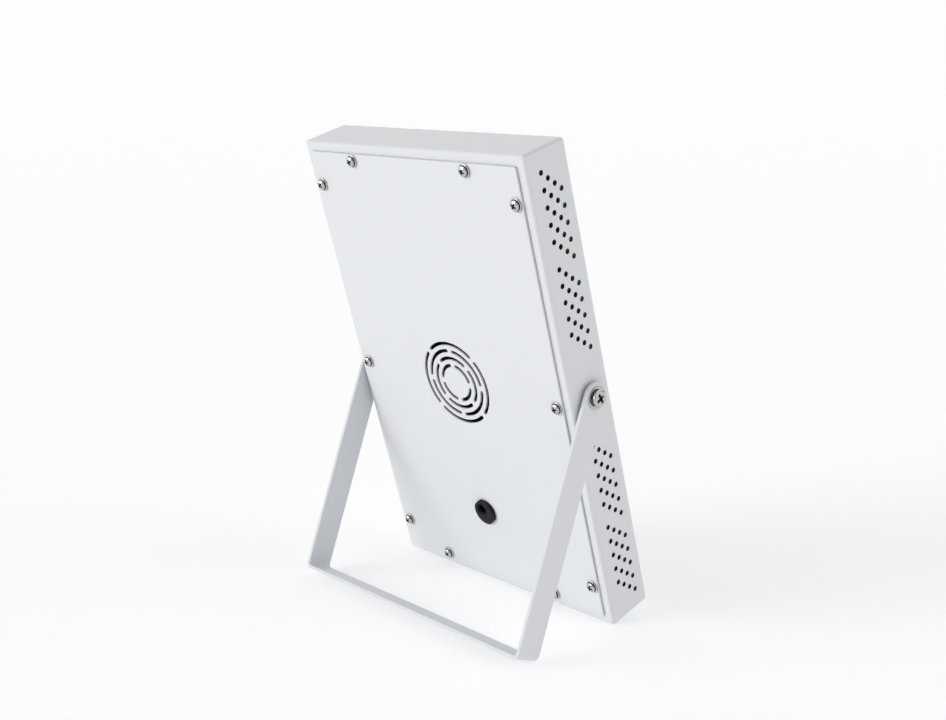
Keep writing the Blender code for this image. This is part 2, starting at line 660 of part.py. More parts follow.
def motor_mount(plate):
    """The motor plate and its four struts, which reach into the frame's wall."""
    shape = bmesh.new()
    add_rod(shape, plate, 0, FAN_MOTOR_PLATE, FINE)
    disc = node("mount_blank", close(shape, "disc"), None, "fan_plastic")
    reach = FAN_BORE + OVERLAP
    half = FAN_STRUT / 2
    bars = [((-reach, -half, 0), (reach, half, FAN_MOTOR_PLATE))]
    bars = boxes("bar", bars)
    bars.transform(Matrix.Rotation(math.radians(22), 4, "Z"))
    work(disc, bars, "UNION")
    cross = bars.copy()
    cross.name = "cross"
    cross.transform(Matrix.Rotation(math.radians(90), 4, "Z"))
    work(disc, cross, "UNION")
    return settled(disc)


def rotor(axis, tube_top):
    """The turning part: a hub cup with swept blades, and the shaft pressed into it."""
    spin = empty("fan_spin", axis)
    rim = FAN_MOTOR_PLATE + 1.2 * MM
    crown = FAN_THICKNESS - 0.8 * MM
    inner = FAN_HUB_RADIUS - FAN_HUB_WALL
    shaft_top = crown - FAN_HUB_WALL - GAP
    cup = [
        (inner, rim),
        (FAN_HUB_RADIUS, rim),
        (FAN_HUB_RADIUS, crown - 1 * MM),
        (FAN_HUB_RADIUS - 1 * MM, crown),
        (0, crown),
        (0, crown - FAN_HUB_WALL),
        (inner, crown - FAN_HUB_WALL),
    ]
    hub = node("fan_rotor", turned("hub", cup, FINE, closed=True), spin, "fan_plastic")
    work(hub, blades(rim + 0.6 * MM, crown - 0.8 * MM), "UNION")
    shaft = turned("shaft", shaft_profile(shaft_top), 12, closed=False)
    node("fan_shaft", shaft, spin, "nickel")


def shaft_profile(top):
    low = FAN_MOTOR_PLATE + GAP
    return [(0, low), (FAN_SHAFT, low), (FAN_SHAFT, top), (0, top)]


def blades(low, high):
    """Swept, twisted blades, each a thin curved slab rooted in the hub's wall."""
    shape = bmesh.new()
    root = FAN_HUB_RADIUS - FAN_HUB_WALL / 2
    stations = 4
    thickness = 1 * MM
    for blade in range(FAN_BLADES):
        sections = []
        for station in range(stations + 1):
            share = station / stations
            radius = root + (FAN_BLADE_RADIUS - root) * share
            start = blade * math.tau / FAN_BLADES + math.radians(14) * share
            chord = math.radians(34 + 4 * share)
            lean = thickness / radius
            corners = ((start, low), (start + lean, low), (start + chord + lean, high), (start + chord, high))
            sections.append(
                [shape.verts.new((radius * math.cos(a), radius * math.sin(a), z)) for a, z in corners]
            )
        shape.faces.new(sections[0])
        shape.faces.new(sections[-1])
        for near, far in zip(sections, sections[1:]):
            for side in range(4):
                after = (side + 1) % 4
                shape.faces.new((near[side], near[after], far[after], far[side]))
    return close(shape, "blades")


def fan_screws(panel):
    seat = FAN_REAR + FAN_HEAD_POCKET - GAP
    mesh = small_screw("fan_screw", SINK_FRONT - seat)
    for number, (x, z) in enumerate(fan_screw_places(), 1):
        node(f"fan_screw_{number}", mesh, panel, "zinc", (x, seat, z), TO_REAR)


def heat_sink(panel):
    """A base plate with level fins towards the fan. Screws pass between the fins."""
    half = FIN_COUNT * FIN_PITCH / 2
    base = [((-SINK_HALF_WIDTH - SINK_EAR, SINK_FRONT - SINK_BASE, MIDDLE - half),
             (SINK_HALF_WIDTH + SINK_EAR, SINK_FRONT, MIDDLE + half))]
    sink = node("heat_sink", boxes("base", base), panel, "aluminium")
    fins = []
    for fin in range(FIN_COUNT):
        level = MIDDLE - half + (fin + 0.5) * FIN_PITCH
        low = (-SINK_HALF_WIDTH, SINK_REAR, level - FIN_THICKNESS / 2)
        high = (SINK_HALF_WIDTH, SINK_FRONT - SINK_BASE / 2, level + FIN_THICKNESS / 2)
        fins.append((low, high))
    work(sink, boxes("fins", fins), "UNION")
    hole = SMALL_SHANK + CLEARANCE
    holes = at_depth(fan_screw_places() + sink_screw_places(), SINK_FRONT)
    work(sink, rods("holes", hole, -SINK_BASE - OVERLAP, OVERLAP, holes, ALONG_Y, 10))


def sink_screws(panel):
    seat = SINK_FRONT - SINK_BASE - GAP
    length = SINK_BASE + GAP + BOARD_THICKNESS
    mesh = small_screw("sink_screw", length)
    for number, (x, z) in enumerate(sink_screw_places(), 1):
        node(f"sink_screw_{number}", mesh, panel, "zinc", (x, seat, z), TO_REAR)


def lamp_board(panel):
    """The aluminium-core board with its lamp packages."""
    side = HALF_WIDTH - WALL - BOARD_CLEARANCE
    low = (-side, BOARD_REAR, WALL + BOARD_CLEARANCE)
    high = (side, BOARD_FRONT, PANEL_HEIGHT - WALL - BOARD_CLEARANCE)
    board = node("lamp_board", boxes("board", [(low, high)]), panel, "board")
    half = LAMP_SIZE / 2
    top = BOARD_FRONT + LAMP_HEIGHT
    lamps = [((x - half, BOARD_FRONT - OVERLAP, z - half), (x + half, top, z + half)) for x, z in lamp_places()]
    work(board, boxes("lamps", lamps), "UNION")
    base, reach = -BOARD_THICKNESS - OVERLAP, OVERLAP
    studs = at_depth(stud_places(), BOARD_FRONT)
    work(board, rods("studs", STUD_RADIUS + CLEARANCE, base, reach, studs, ALONG_Y, 10))
    screws = at_depth(sink_screw_places(), BOARD_FRONT)
    work(board, rods("screws", SMALL_SHANK + CLEARANCE, base, reach, screws, ALONG_Y, 10))


def lens_plate(panel):
    """One moulded plate of lenses. Its rim rests on the board and its domes fill the window."""
    side = HALF_WIDTH - WALL - BOARD_CLEARANCE
    bottom, top = WALL + BOARD_CLEARANCE, PANEL_HEIGHT - WALL - BOARD_CLEARANCE
    rear = BOARD_FRONT + GAP
    plate = boxes("plate", [((-side, rear, bottom), (side, LENS_FRONT, top))])
    plate = node("lens_plate", plate, panel, "lens")
    border = FRONT_BORDER
    pocket = (
        (border - HALF_WIDTH, rear - OVERLAP, border),
        (HALF_WIDTH - border, rear + LENS_RIM, PANEL_HEIGHT - border),
    )
    work(plate, boxes("pocket", [pocket]))
    shape = bmesh.new()
    for x, z in lamp_places():
        place = Matrix.Translation((x, LENS_FRONT, z)) @ ALONG_Y
        cap = [(LENS_RADIUS, -OVERLAP), (LENS_RADIUS, 0), (LENS_RADIUS * 0.8, LENS_HEIGHT)]
        add_lens(shape, cap, place)
    work(plate, close(shape, "lenses"), "UNION")
    studs = at_depth(stud_places(), LENS_FRONT)
    depth = -LENS_PLATE - LENS_RIM - OVERLAP
    work(plate, rods("studs", STUD_RADIUS + CLEARANCE, depth, OVERLAP, studs, ALONG_Y, 10))


def add_lens(shape, cap, place):
    """A low dome: a short rim and one sloping band up to a flat top."""
    rings = []
    for radius, height in cap:
        points = arc((0, 0), radius, 0, math.tau, 10)[:-1]
        rings.append([shape.verts.new(place @ Vector((x, y, height))) for x, y in points])
    shape.faces.new(rings[0])
    shape.faces.new(rings[-1])
    for low, high in zip(rings, rings[1:]):
        for side in range(len(low)):
            after = (side + 1) % len(low)
            shape.faces.new((low[side], low[after], high[after], high[side]))


def stud_nuts(panel):
    mesh = nut_mesh("stud_nut", STUD_NUT_FLATS, STUD_RADIUS + CLEARANCE, -STUD_NUT_THICKNESS, 0)
    for number, (x, z) in enumerate(stud_places(), 1):
        node(f"stud_nut_{number}", mesh, panel, "zinc", (x, BOARD_REAR - GAP, z), TO_FRONT)


def driver(panel):
    """The current driver board on two spacers, with its larger components."""
    low = (-DRIVER_WIDTH / 2, DRIVER_REAR, DRIVER_HEIGHT - DRIVER_LENGTH / 2)
    high = (DRIVER_WIDTH / 2, DRIVER_FRONT, DRIVER_HEIGHT + DRIVER_LENGTH / 2)
    board = node("driver_board", boxes("board", [(low, high)]), panel, "driver_board")
    hole = SMALL_SHANK + CLEARANCE
    holes = at_depth(driver_hole_places(), DRIVER_FRONT)
    work(board, rods("holes", hole, -BOARD_THICKNESS - OVERLAP, OVERLAP, holes, ALONG_Y, 10))
    spacer = nut_mesh("driver_spacer", DRIVER_SPACER_FLATS, hole, -DRIVER_STANDOFF, 0)
    screw = small_screw("driver_screw", DRIVER_STANDOFF)
    for number, (x, z) in enumerate(driver_hole_places(), 1):
        node(f"driver_spacer_{number}", spacer, panel, "zinc", (x, BOARD_REAR - GAP, z), TO_FRONT)
        node(f"driver_screw_{number}", screw, panel, "zinc", (x, DRIVER_REAR - GAP, z), TO_REAR)
    seat = DRIVER_REAR - GAP
    half = INDUCTOR_SIZE / 2
    coil = rounded_box("inductor", (-half, -half, 0), (half, half, INDUCTOR_HEIGHT), 1.5 * MM, 2, along=2)
    node("driver_inductor", coil, panel, "ferrite", (18 * MM, seat, DRIVER_HEIGHT), TO_REAR)
    can = turned("capacitor", capacitor_profile(), ROUND, closed=False)
    node("driver_capacitor", can, panel, "aluminium", (-4 * MM, seat, DRIVER_HEIGHT), TO_REAR)
    half = CONNECTOR_SIZE / 2
    plug = boxes("connector", [((-half, -half / 2, 0), (half, half / 2, CONNECTOR_HEIGHT))])
    place = (-DRIVER_WIDTH / 2 + CONNECTOR_SIZE, seat, DRIVER_HEIGHT - DRIVER_LENGTH / 4)
    node("driver_connector", plug, panel, "nylon", place, TO_REAR)


def capacitor_profile():
    top = CAPACITOR_HEIGHT
    radius = CAPACITOR_RADIUS
    edge = radius * 0.15
    return [(0, 0), (radius, 0), (radius, top - edge), (radius - edge, top), (0, top)]


def lead(name, panel, radius, finish_name, points):
    """A round lead along a smooth curve through its points."""
    curve = bpy.data.curves.new(name, "CURVE")
    curve.dimensions = "3D"
    curve.bevel_depth = radius
    curve.bevel_resolution = 1
    curve.use_fill_caps = True
    path = smooth_path([Vector(point) for point in points], 3)
    spline = curve.splines.new("POLY")
    spline.points.add(len(path) - 1)
    for point, place in zip(spline.points, path):
        point.co = (*place, 1.0)
    curve.materials.append(finish(finish_name))
    piece = bpy.data.objects.new(name, curve)
    piece.parent = panel
    bpy.context.scene.collection.objects.link(piece)


def smooth_path(points, steps):
    """Catmull-Rom points through the given ones."""
    padded = [points[0] * 2 - points[1]] + points + [points[-1] * 2 - points[-2]]
    path = []
    for a, b, c, d in zip(padded, padded[1:], padded[2:], padded[3:]):
        for step in range(steps):
            t = step / steps
            path.append(
                (b * 2 + (c - a) * t + (a * 2 - b * 5 + c * 4 - d) * t**2 + (b * 3 - a - c * 3 + d) * t**3) / 2
            )
    return path + [points[-1]]


def leads(panel):
    """The inner leads: inlet to driver, and fan to driver, both led round the fan."""
    inlet_end = COVER_FACE - GAP + INLET_LENGTH + GAP
    left = -FAN_SIZE / 2
    board_low = DRIVER_HEIGHT - DRIVER_LENGTH / 2
    plug_x = -DRIVER_WIDTH / 2 + CONNECTOR_SIZE
    plug_z = DRIVER_HEIGHT - DRIVER_LENGTH / 4 - CONNECTOR_SIZE / 4
    plug_y = DRIVER_REAR - GAP - CONNECTOR_HEIGHT / 2
    depth = SINK_REAR - 2 * INPUT_LEAD - 2 * GAP
    lead("input_lead", panel, INPUT_LEAD, "nylon", [
        (-4.2 * MM, inlet_end + GAP, INLET_HEIGHT),
        (-4.6 * MM, inlet_end + 3.5 * MM, INLET_HEIGHT + 1.5 * MM),
        (-12 * MM, inlet_end + 4 * MM, INLET_HEIGHT + 10 * MM),
        (left - 8 * MM, depth - 1 * MM, MIDDLE - FAN_SIZE / 2 - 18 * MM),
        (left - 14 * MM, depth - 3 * MM, MIDDLE - 20 * MM),
        (left - 14 * MM, depth - 4 * MM, MIDDLE + 20 * MM),
        (plug_x - 1 * MM, plug_y, board_low - 12 * MM),
        (plug_x, plug_y, plug_z - GAP),
    ])
    right = FAN_SIZE / 2
    fan_y = FAN_REAR + 3 * MM
    lead("fan_lead", panel, FAN_LEAD, "lead_red", [
        (right + GAP, fan_y, MIDDLE + 12 * MM),
        (right + 4 * MM, fan_y, MIDDLE + 13 * MM),
        (right + 9 * MM, fan_y, MIDDLE + 24 * MM),
        (right + 10 * MM, fan_y, MIDDLE + 45 * MM),
        (right + 7 * MM, fan_y + 1 * MM, board_low - 4 * MM),
        (right + 5 * MM, fan_y + 2 * MM, board_low + 6 * MM),
        (right + 4.4 * MM, DRIVER_REAR - 2 * MM, board_low + 9 * MM),
        (right + 4.3 * MM, DRIVER_REAR - 2 * GAP, board_low + 9.5 * MM),
    ])


def panel_lean():
    """How far the panel leans back to stand on its rounded rear edge and the bail's front edge."""
    sine, cosine = math.sin(BAIL_SWING), math.cos(BAIL_SWING)
    reach, half = BAIL_REACH + BAIL_THICKNESS, BAIL_WIDTH / 2
    back = EDGE_RADIUS - PIVOT_DEPTH + sine * reach - cosine * half
    rise = PIVOT_HEIGHT - EDGE_RADIUS - cosine * reach - sine * half
    return math.atan2(rise, back) + math.asin(EDGE_RADIUS / math.hypot(rise, back))


def stand_on_ground(assembly):
    """Moves the assembly so that the bottom centre of its bounding box is at the origin."""
    bpy.context.view_layer.update()
    graph = bpy.context.evaluated_depsgraph_get()
    points = []
    for piece in bpy.context.scene.objects:
        if piece.type in ("MESH", "CURVE") and not piece.hide_render:
            evaluated = piece.evaluated_get(graph)
            mesh = evaluated.to_mesh()
            points += [evaluated.matrix_world @ vert.co for vert in mesh.vertices]
            evaluated.to_mesh_clear()
    low = [min(point[axis] for point in points) for axis in range(3)]
    high = [max(point[axis] for point in points) for axis in range(3)]
    assembly.location = (-(low[0] + high[0]) / 2, -(low[1] + high[1]) / 2, -low[2])


def build():
    clear_scene()
    assembly = empty("assembly")
    panel = empty("panel", assembly)
    panel.rotation_euler = (panel_lean(), 0, 0)
    bail = empty("bail_axis", panel, (0, PIVOT_DEPTH, PIVOT_HEIGHT))
    bail.rotation_euler = (-BAIL_SWING, 0, 0)
    housing(panel)
    rear_cover(panel)
    cover_screws(panel)
    bail_stand(bail)
    pivots(panel)
    inlet(panel)
    fan(panel)
    fan_screws(panel)
    heat_sink(panel)
    sink_screws(panel)
    lamp_board(panel)
    lens_plate(panel)
    stud_nuts(panel)
    driver(panel)
    leads(panel)
    stand_on_ground(assembly)


build()
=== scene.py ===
"""The looks of a slim, fan-cooled light panel that stands on a bail.

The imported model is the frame. Each class below builds one sub-assembly in the panel's own frame
(X across, Y from the rear cover to the lens side, Z up, the rear bottom edge's middle at the origin)
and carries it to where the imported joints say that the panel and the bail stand.
"""

import json
import logging
import math
from collections.abc import Callable, Iterable, Sequence
from dataclasses import dataclass, field
from enum import Enum

import bmesh
import bpy
from mathutils import Euler, Matrix, Vector


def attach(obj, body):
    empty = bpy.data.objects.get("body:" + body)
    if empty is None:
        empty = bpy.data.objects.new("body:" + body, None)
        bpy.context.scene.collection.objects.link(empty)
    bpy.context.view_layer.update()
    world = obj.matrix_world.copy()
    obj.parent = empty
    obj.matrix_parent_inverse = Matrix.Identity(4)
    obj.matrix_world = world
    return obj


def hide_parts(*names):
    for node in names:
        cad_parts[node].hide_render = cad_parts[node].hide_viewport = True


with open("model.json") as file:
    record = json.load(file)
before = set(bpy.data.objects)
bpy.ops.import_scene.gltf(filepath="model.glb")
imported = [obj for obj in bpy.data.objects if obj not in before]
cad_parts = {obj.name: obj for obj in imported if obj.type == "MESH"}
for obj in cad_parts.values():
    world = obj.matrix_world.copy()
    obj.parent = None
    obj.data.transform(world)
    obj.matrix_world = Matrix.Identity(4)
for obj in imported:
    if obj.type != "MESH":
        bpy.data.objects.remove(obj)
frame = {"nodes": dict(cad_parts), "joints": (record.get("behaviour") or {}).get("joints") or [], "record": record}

LOG = logging.getLogger("light_panel")
MM = 0.001
TAU = math.tau
COARSE, ROUND, FINE = 24, 32, 64
EPS = 0.5 * MM
NEAR, MERGE = 0.01 * MM, 1e-7
ALIGNED = 0.99
SHARP = math.radians(32)
RECESS, INSIDE = "recess", "inside"
TO_REAR = Matrix.Rotation(math.radians(90), 4, "X")
TO_FRONT = Matrix.Rotation(math.radians(-90), 4, "X")
TO_RIGHT = Matrix.Rotation(math.radians(90), 4, "Y")
TO_LEFT = Matrix.Rotation(math.radians(-90), 4, "Y")

Point = Sequence[float]
Colour = tuple[float, float, float]


class Body(Enum):
    """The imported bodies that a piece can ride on."""

    PANEL = "panel"
    BAIL = "bail"
    ROTOR = "rotor"


class Cut(Enum):
    """What a Boolean does with its tool."""

    AWAY = "DIFFERENCE"
    JOIN = "UNION"
    COMMON = "INTERSECT"


# ---------------------------------------------------------------- shader maths


class Sock:
    """A shader socket that takes part in Python arithmetic."""

    def __init__(self, bench: "Bench", socket: bpy.types.NodeSocket) -> None:
        """Wraps a socket.

        Args:
            bench: the material's bench, which adds the nodes.
            socket: the output socket.
        """
        self.bench = bench
        self.socket = socket

    def maths(self, operation: str, *others: "Sock | float", turned: bool = False) -> "Sock":
        """Adds a Math node.

        Args:
            operation: the node's operation.
            others: its other inputs.
            turned: whether this socket comes last.

        Returns:
            The node's output.
        """
        inputs = [*others, self] if turned else [self, *others]
        node = self.bench.add("ShaderNodeMath", {"operation": operation}, dict(enumerate(inputs)))
        return Sock(self.bench, node.outputs[0])

    def __add__(self, other: "Sock | float") -> "Sock":
        """Returns the sum."""
        return self.maths("ADD", other)

    def __rsub__(self, other: float) -> "Sock":
        """Returns a number less this."""
        return self.maths("SUBTRACT", other, turned=True)

    def __mul__(self, other: "Sock | float") -> "Sock":
        """Returns the product."""
        return self.maths("MULTIPLY", other)

    def __gt__(self, other: "Sock | float") -> "Sock":
        """Returns 1 where this is the greater, or else 0."""
        return self.maths("GREATER_THAN", other)

    __radd__ = __add__
    __rmul__ = __mul__


class Bench:
    """A node tree under construction."""

    def __init__(self, tree: bpy.types.NodeTree) -> None:
        """Clears a tree.

        Args:
            tree: the node tree of a material or of the world.
        """
        self.tree = tree
        tree.nodes.clear()

    def add(self, kind: str, settings: dict | None = None, values: dict | None = None) -> bpy.types.Node:
        """Adds a node.

        Args:
            kind: the node's type.
            settings: its own properties, set first. "stops" holds a ramp's (place, colour) pairs.
            values: socket name or number to a value, a Sock or a socket.

        Returns:
            The node.
        """
        node = self.tree.nodes.new(kind)
        for key, value in (settings or {}).items():
            if key == "stops":
                self.set_stops(node.color_ramp, value)
            else:
                setattr(node, key, value)
        for key, value in (values or {}).items():
            source = value.socket if isinstance(value, Sock) else value
            if isinstance(source, bpy.types.NodeSocket):
                self.tree.links.new(source, node.inputs[key])
            else:
                node.inputs[key].default_value = source
        return node

    @staticmethod
    def set_stops(ramp: bpy.types.ColorRamp, stops: Sequence[tuple[float, Colour]]) -> None:
        """Sets a ramp's stops.

        Args:
            ramp: a ramp with its two first stops.
            stops: (place, colour) pairs, low to high.
        """
        while len(ramp.elements) < len(stops):
            ramp.elements.new(1.0)
        for element, (place, colour) in zip(ramp.elements, stops):
            element.position = place
            element.color = (*colour, 1.0)

    def out(self, node: bpy.types.Node, name: str | int = 0) -> Sock:
        """Returns a node's output as a Sock."""
        return Sock(self, node.outputs[name])

    def place(self, stretch: Point = (1, 1, 1)) -> bpy.types.NodeSocket:
        """Returns the place on the object, in metres, stretched along its axes."""
        where = self.add("ShaderNodeTexCoord").outputs["Object"]
        return self.add("ShaderNodeMapping", None, {"Vector": where, "Scale": tuple(stretch)}).outputs[0]

    def noise(self, scale: float, detail: float = 2.0, stretch: Point = (1, 1, 1)) -> Sock:
        """Returns a noise from 0 to 1, its scale in cycles a metre."""
        values = {"Vector": self.place(stretch), "Scale": scale, "Detail": detail}
        return self.out(self.add("ShaderNodeTexNoise", None, values), "Fac")

    def blend(self, share: Sock, low: "Colour | Sock", high: Colour) -> bpy.types.NodeSocket:
        """Returns a colour between two, by a share from 0 to 1."""
        values = {"Factor": share, 6: low if isinstance(low, Sock) else (*low, 1.0), 7: (*high, 1.0)}
        return self.add("ShaderNodeMix", {"data_type": "RGBA"}, values).outputs[2]

    def bump(self, height: Sock, depth: float) -> bpy.types.NodeSocket:
        """Returns a normal bent by a height from 0 to 1 that stands for a depth in metres."""
        values = {"Height": height, "Distance": depth, "Strength": 1.0}
        return self.add("ShaderNodeBump", None, values).outputs[0]

    def marked(self, name: str) -> Sock:
        """Returns a face attribute of 0 or 1."""
        return self.out(self.add("ShaderNodeAttribute", {"attribute_name": name}), "Fac")

    def shader(self, values: dict) -> None:
        """Ends the tree in a Principled shader with these values."""
        surface = self.add("ShaderNodeBsdfPrincipled", None, values)
        self.add("ShaderNodeOutputMaterial", None, {"Surface": surface.outputs[0]})


# ---------------------------------------------------------------- finishes


def shade(colour: Colour, factor: float) -> Colour:
    """Returns a colour made lighter or darker."""
    red, green, blue = (min(1.0, part * factor) for part in colour)
    return (red, green, blue)


@dataclass(frozen=True)
class Finish:
    """What every finish has: a name, a colour and a roughness."""

    name: str
    colour: Colour
    roughness: float

    def material(self) -> bpy.types.Material:
        """Returns the finish as a material, made the first time it is asked for.

        Returns:
            The material.
        """
        if self.name in bpy.data.materials:
            return bpy.data.materials[self.name]
        made = bpy.data.materials.new(self.name)
        made.use_nodes = True
        made.diffuse_color = (*self.colour, 1.0)
        self.dress(Bench(made.node_tree))
        return made

    def dress(self, bench: Bench) -> None:
        """Builds the node tree. Each finish has its own."""
        raise NotImplementedError


@dataclass(frozen=True)
class PowderCoat(Finish):
    """Baked powder paint: a fine orange peel and a faint unevenness of tone. Faces marked as inside get a painted
    shade: a near-black colour that stands in for the shade inside the case and in the vent holes.
    """

    peel: float = 0.012 * MM
    # painted shade: the near-black colour of the faces marked as inside, standing in for the shade inside the case
    # and in the vent holes
    inner_shade: Colour = (0.07, 0.07, 0.072)

    def dress(self, bench: Bench) -> None:
        """Builds the tree.

        Args:
            bench: the material's bench.
        """
        cloud = bench.noise(18, 3)
        grain = bench.noise(1500, 2)
        waves = bench.noise(420, 1)
        height = grain * 0.6 + waves * 0.4
        inside = bench.marked(INSIDE)
        paint = Sock(bench, bench.blend(cloud * 0.6 + grain * 0.4, shade(self.colour, 0.975), self.colour))
        bench.shader({
            # the marked inside faces take the painted shade in place of the paint colour
            "Base Color": bench.blend(inside, paint, self.inner_shade),
            "Roughness": grain * 0.10 + (self.roughness - 0.05),
            "Normal": bench.bump(height, self.peel),
            "Specular IOR Level": 0.15,
        })


@dataclass(frozen=True)
class PlatedMetal(Finish):
    """Bright plate on a turned or pressed part: faint rolling lines and a soft haze. Marked faces in the cross
    recess and round the head's foot get a painted shade.
    """

    haze: Colour = (0.30, 0.28, 0.25)
    # painted shade: the dark colour of the marked faces, standing in for the shade in the cross recess and round
    # the head's foot
    painted_shade: Colour = (0.03, 0.028, 0.026)

    def dress(self, bench: Bench) -> None:
        """Builds the tree.

        Args:
            bench: the material's bench.
        """
        haze = bench.noise(700, 3)
        lines = bench.noise(3200, 1, (1.0, 0.18, 1.0))
        shade_mask = bench.marked(RECESS)
        open_metal = Sock(bench, bench.blend((haze > 0.66) * 0.5, self.colour, self.haze))
        # the marked faces take the painted shade in their Base Color and turn rougher
        bench.shader({
            "Base Color": bench.blend(shade_mask, open_metal, self.painted_shade),
            "Metallic": 1.0,
            "Roughness": haze * 0.10 + lines * 0.06 + shade_mask * 0.3 + (self.roughness - 0.08),
            "Normal": bench.bump(lines, 0.004 * MM),
        })


@dataclass(frozen=True)
class Moulding(Finish):
    """Moulded plastic with a spark-eroded grain."""

    grain: float = 0.03 * MM
    scale: float = 1400.0

    def dress(self, bench: Bench) -> None:
        """Builds the tree.

        Args:
            bench: the material's bench.
        """
        grain = bench.noise(self.scale, 3)
        cloud = bench.noise(90, 2)
        bench.shader({
            "Base Color": bench.blend(cloud, shade(self.colour, 0.8), shade(self.colour, 1.25)),
            "Roughness": grain * 0.16 + cloud * 0.06 + (self.roughness - 0.1),
            "Normal": bench.bump(grain, self.grain),
            "Specular IOR Level": 0.2,
        })


@dataclass(frozen=True)
class RolledMetal(Finish):
    """Bare extruded or rolled metal, with its drawing lines along X."""

    def dress(self, bench: Bench) -> None:
        """Builds the tree.

        Args:
            bench: the material's bench.
        """
        lines = bench.noise(1300, 2, (0.02, 1.0, 1.0))
        cloud = bench.noise(60, 2)
        bench.shader({
            "Base Color": bench.blend(lines, shade(self.colour, 0.85), self.colour),
            "Metallic": 1.0,
            "Roughness": lines * 0.14 + cloud * 0.08 + (self.roughness - 0.1),
            "Normal": bench.bump(lines, 0.01 * MM),
        })


@dataclass(frozen=True)
class SolderMask(Finish):
    """A circuit board: mask over copper areas, with their edges just showing."""

    cell: float = 7 * MM

    def dress(self, bench: Bench) -> None:
        """Builds the tree.

        Args:
            bench: the material's bench.
        """
        values = {"Vector": bench.place(), "Scale": 1 / self.cell}
        settings = {"distance": "CHEBYCHEV", "feature": "F1"}
        cells = bench.out(bench.add("ShaderNodeTexVoronoi", settings, values), "Distance")
        copper = cells > 0.42
        speck = bench.noise(900, 2)
        bench.shader({
            "Base Color": bench.blend(copper, shade(self.colour, 0.97), self.colour),
            "Roughness": speck * 0.12 + (self.roughness - 0.06),
            "Normal": bench.bump(copper + speck * 0.2, 0.006 * MM),
        })


@dataclass(frozen=True)
class ClearAcrylic(Finish):
    """Clear moulded acrylic with faint flow lines."""

    def dress(self, bench: Bench) -> None:
        """Builds the tree.

        Args:
            bench: the material's bench.
        """
        flow = bench.noise(45, 1)
        haze = bench.noise(600, 2)
        bench.shader({
            "Base Color": bench.blend(flow, shade(self.colour, 0.97), self.colour),
            "Roughness": haze * 0.05 + self.roughness,
            "Transmission Weight": 1.0,
            "IOR": 1.49,
            "Normal": bench.bump(flow, 0.02 * MM),
        })


@dataclass(frozen=True)
class Paper(Finish):
    """The floor of the studio: plain pale paper that gives back a little light of its own."""

    glow: float = 0.26

    def dress(self, bench: Bench) -> None:
        """Builds the tree.

        Args:
            bench: the material's bench.
        """
        bench.shader({
            "Base Color": (*self.colour, 1.0),
            "Roughness": self.roughness,
            "Specular IOR Level": 0.1,
            "Emission Color": (1.0, 1.0, 1.0, 1.0),
            "Emission Strength": self.glow,
        })


CASE_PAINT = PowderCoat("pale_powder_coat", (0.735, 0.752, 0.775), 0.5)
NICKEL = PlatedMetal("bright_nickel", (0.52, 0.51, 0.50), 0.10)
ZINC = PlatedMetal("zinc_plate", (0.62, 0.62, 0.60), 0.32, (0.42, 0.42, 0.40))
BRASS = PlatedMetal("turned_brass", (0.76, 0.58, 0.28), 0.25, (0.4, 0.28, 0.12))
INLET_BLACK = Moulding("inlet_black", (0.004, 0.005, 0.006), 0.5)
FAN_BLACK = Moulding("fan_black", (0.012, 0.012, 0.013), 0.48)
NYLON = Moulding("black_nylon", (0.03, 0.03, 0.033), 0.5, 0.02 * MM, 900)
LEAD_BLACK = Moulding("black_insulation", (0.02, 0.02, 0.02), 0.5, 0.02 * MM, 500)
LEAD_RED = Moulding("red_insulation", (0.35, 0.02, 0.02), 0.5, 0.02 * MM, 500)
CORE = Moulding("dark_core", (0.06, 0.06, 0.065), 0.6, 0.04 * MM, 700)
ALUMINIUM = RolledMetal("mill_aluminium", (0.50, 0.51, 0.52), 0.38)
BOARD_WHITE = SolderMask("white_board", (0.82, 0.82, 0.80), 0.4)
BOARD_GREEN = SolderMask("green_board", (0.02, 0.13, 0.06), 0.35, 5 * MM)
LENS_CLEAR = ClearAcrylic("clear_acrylic", (0.96, 0.97, 0.98), 0.03)
LAMP_DOME = Moulding("lamp_dome", (0.70, 0.50, 0.16), 0.22, 0.002 * MM, 300)
FLOOR_PAPER = Paper("floor_paper", (0.93, 0.93, 0.93), 0.9)


# ---------------------------------------------------------------- mesh work


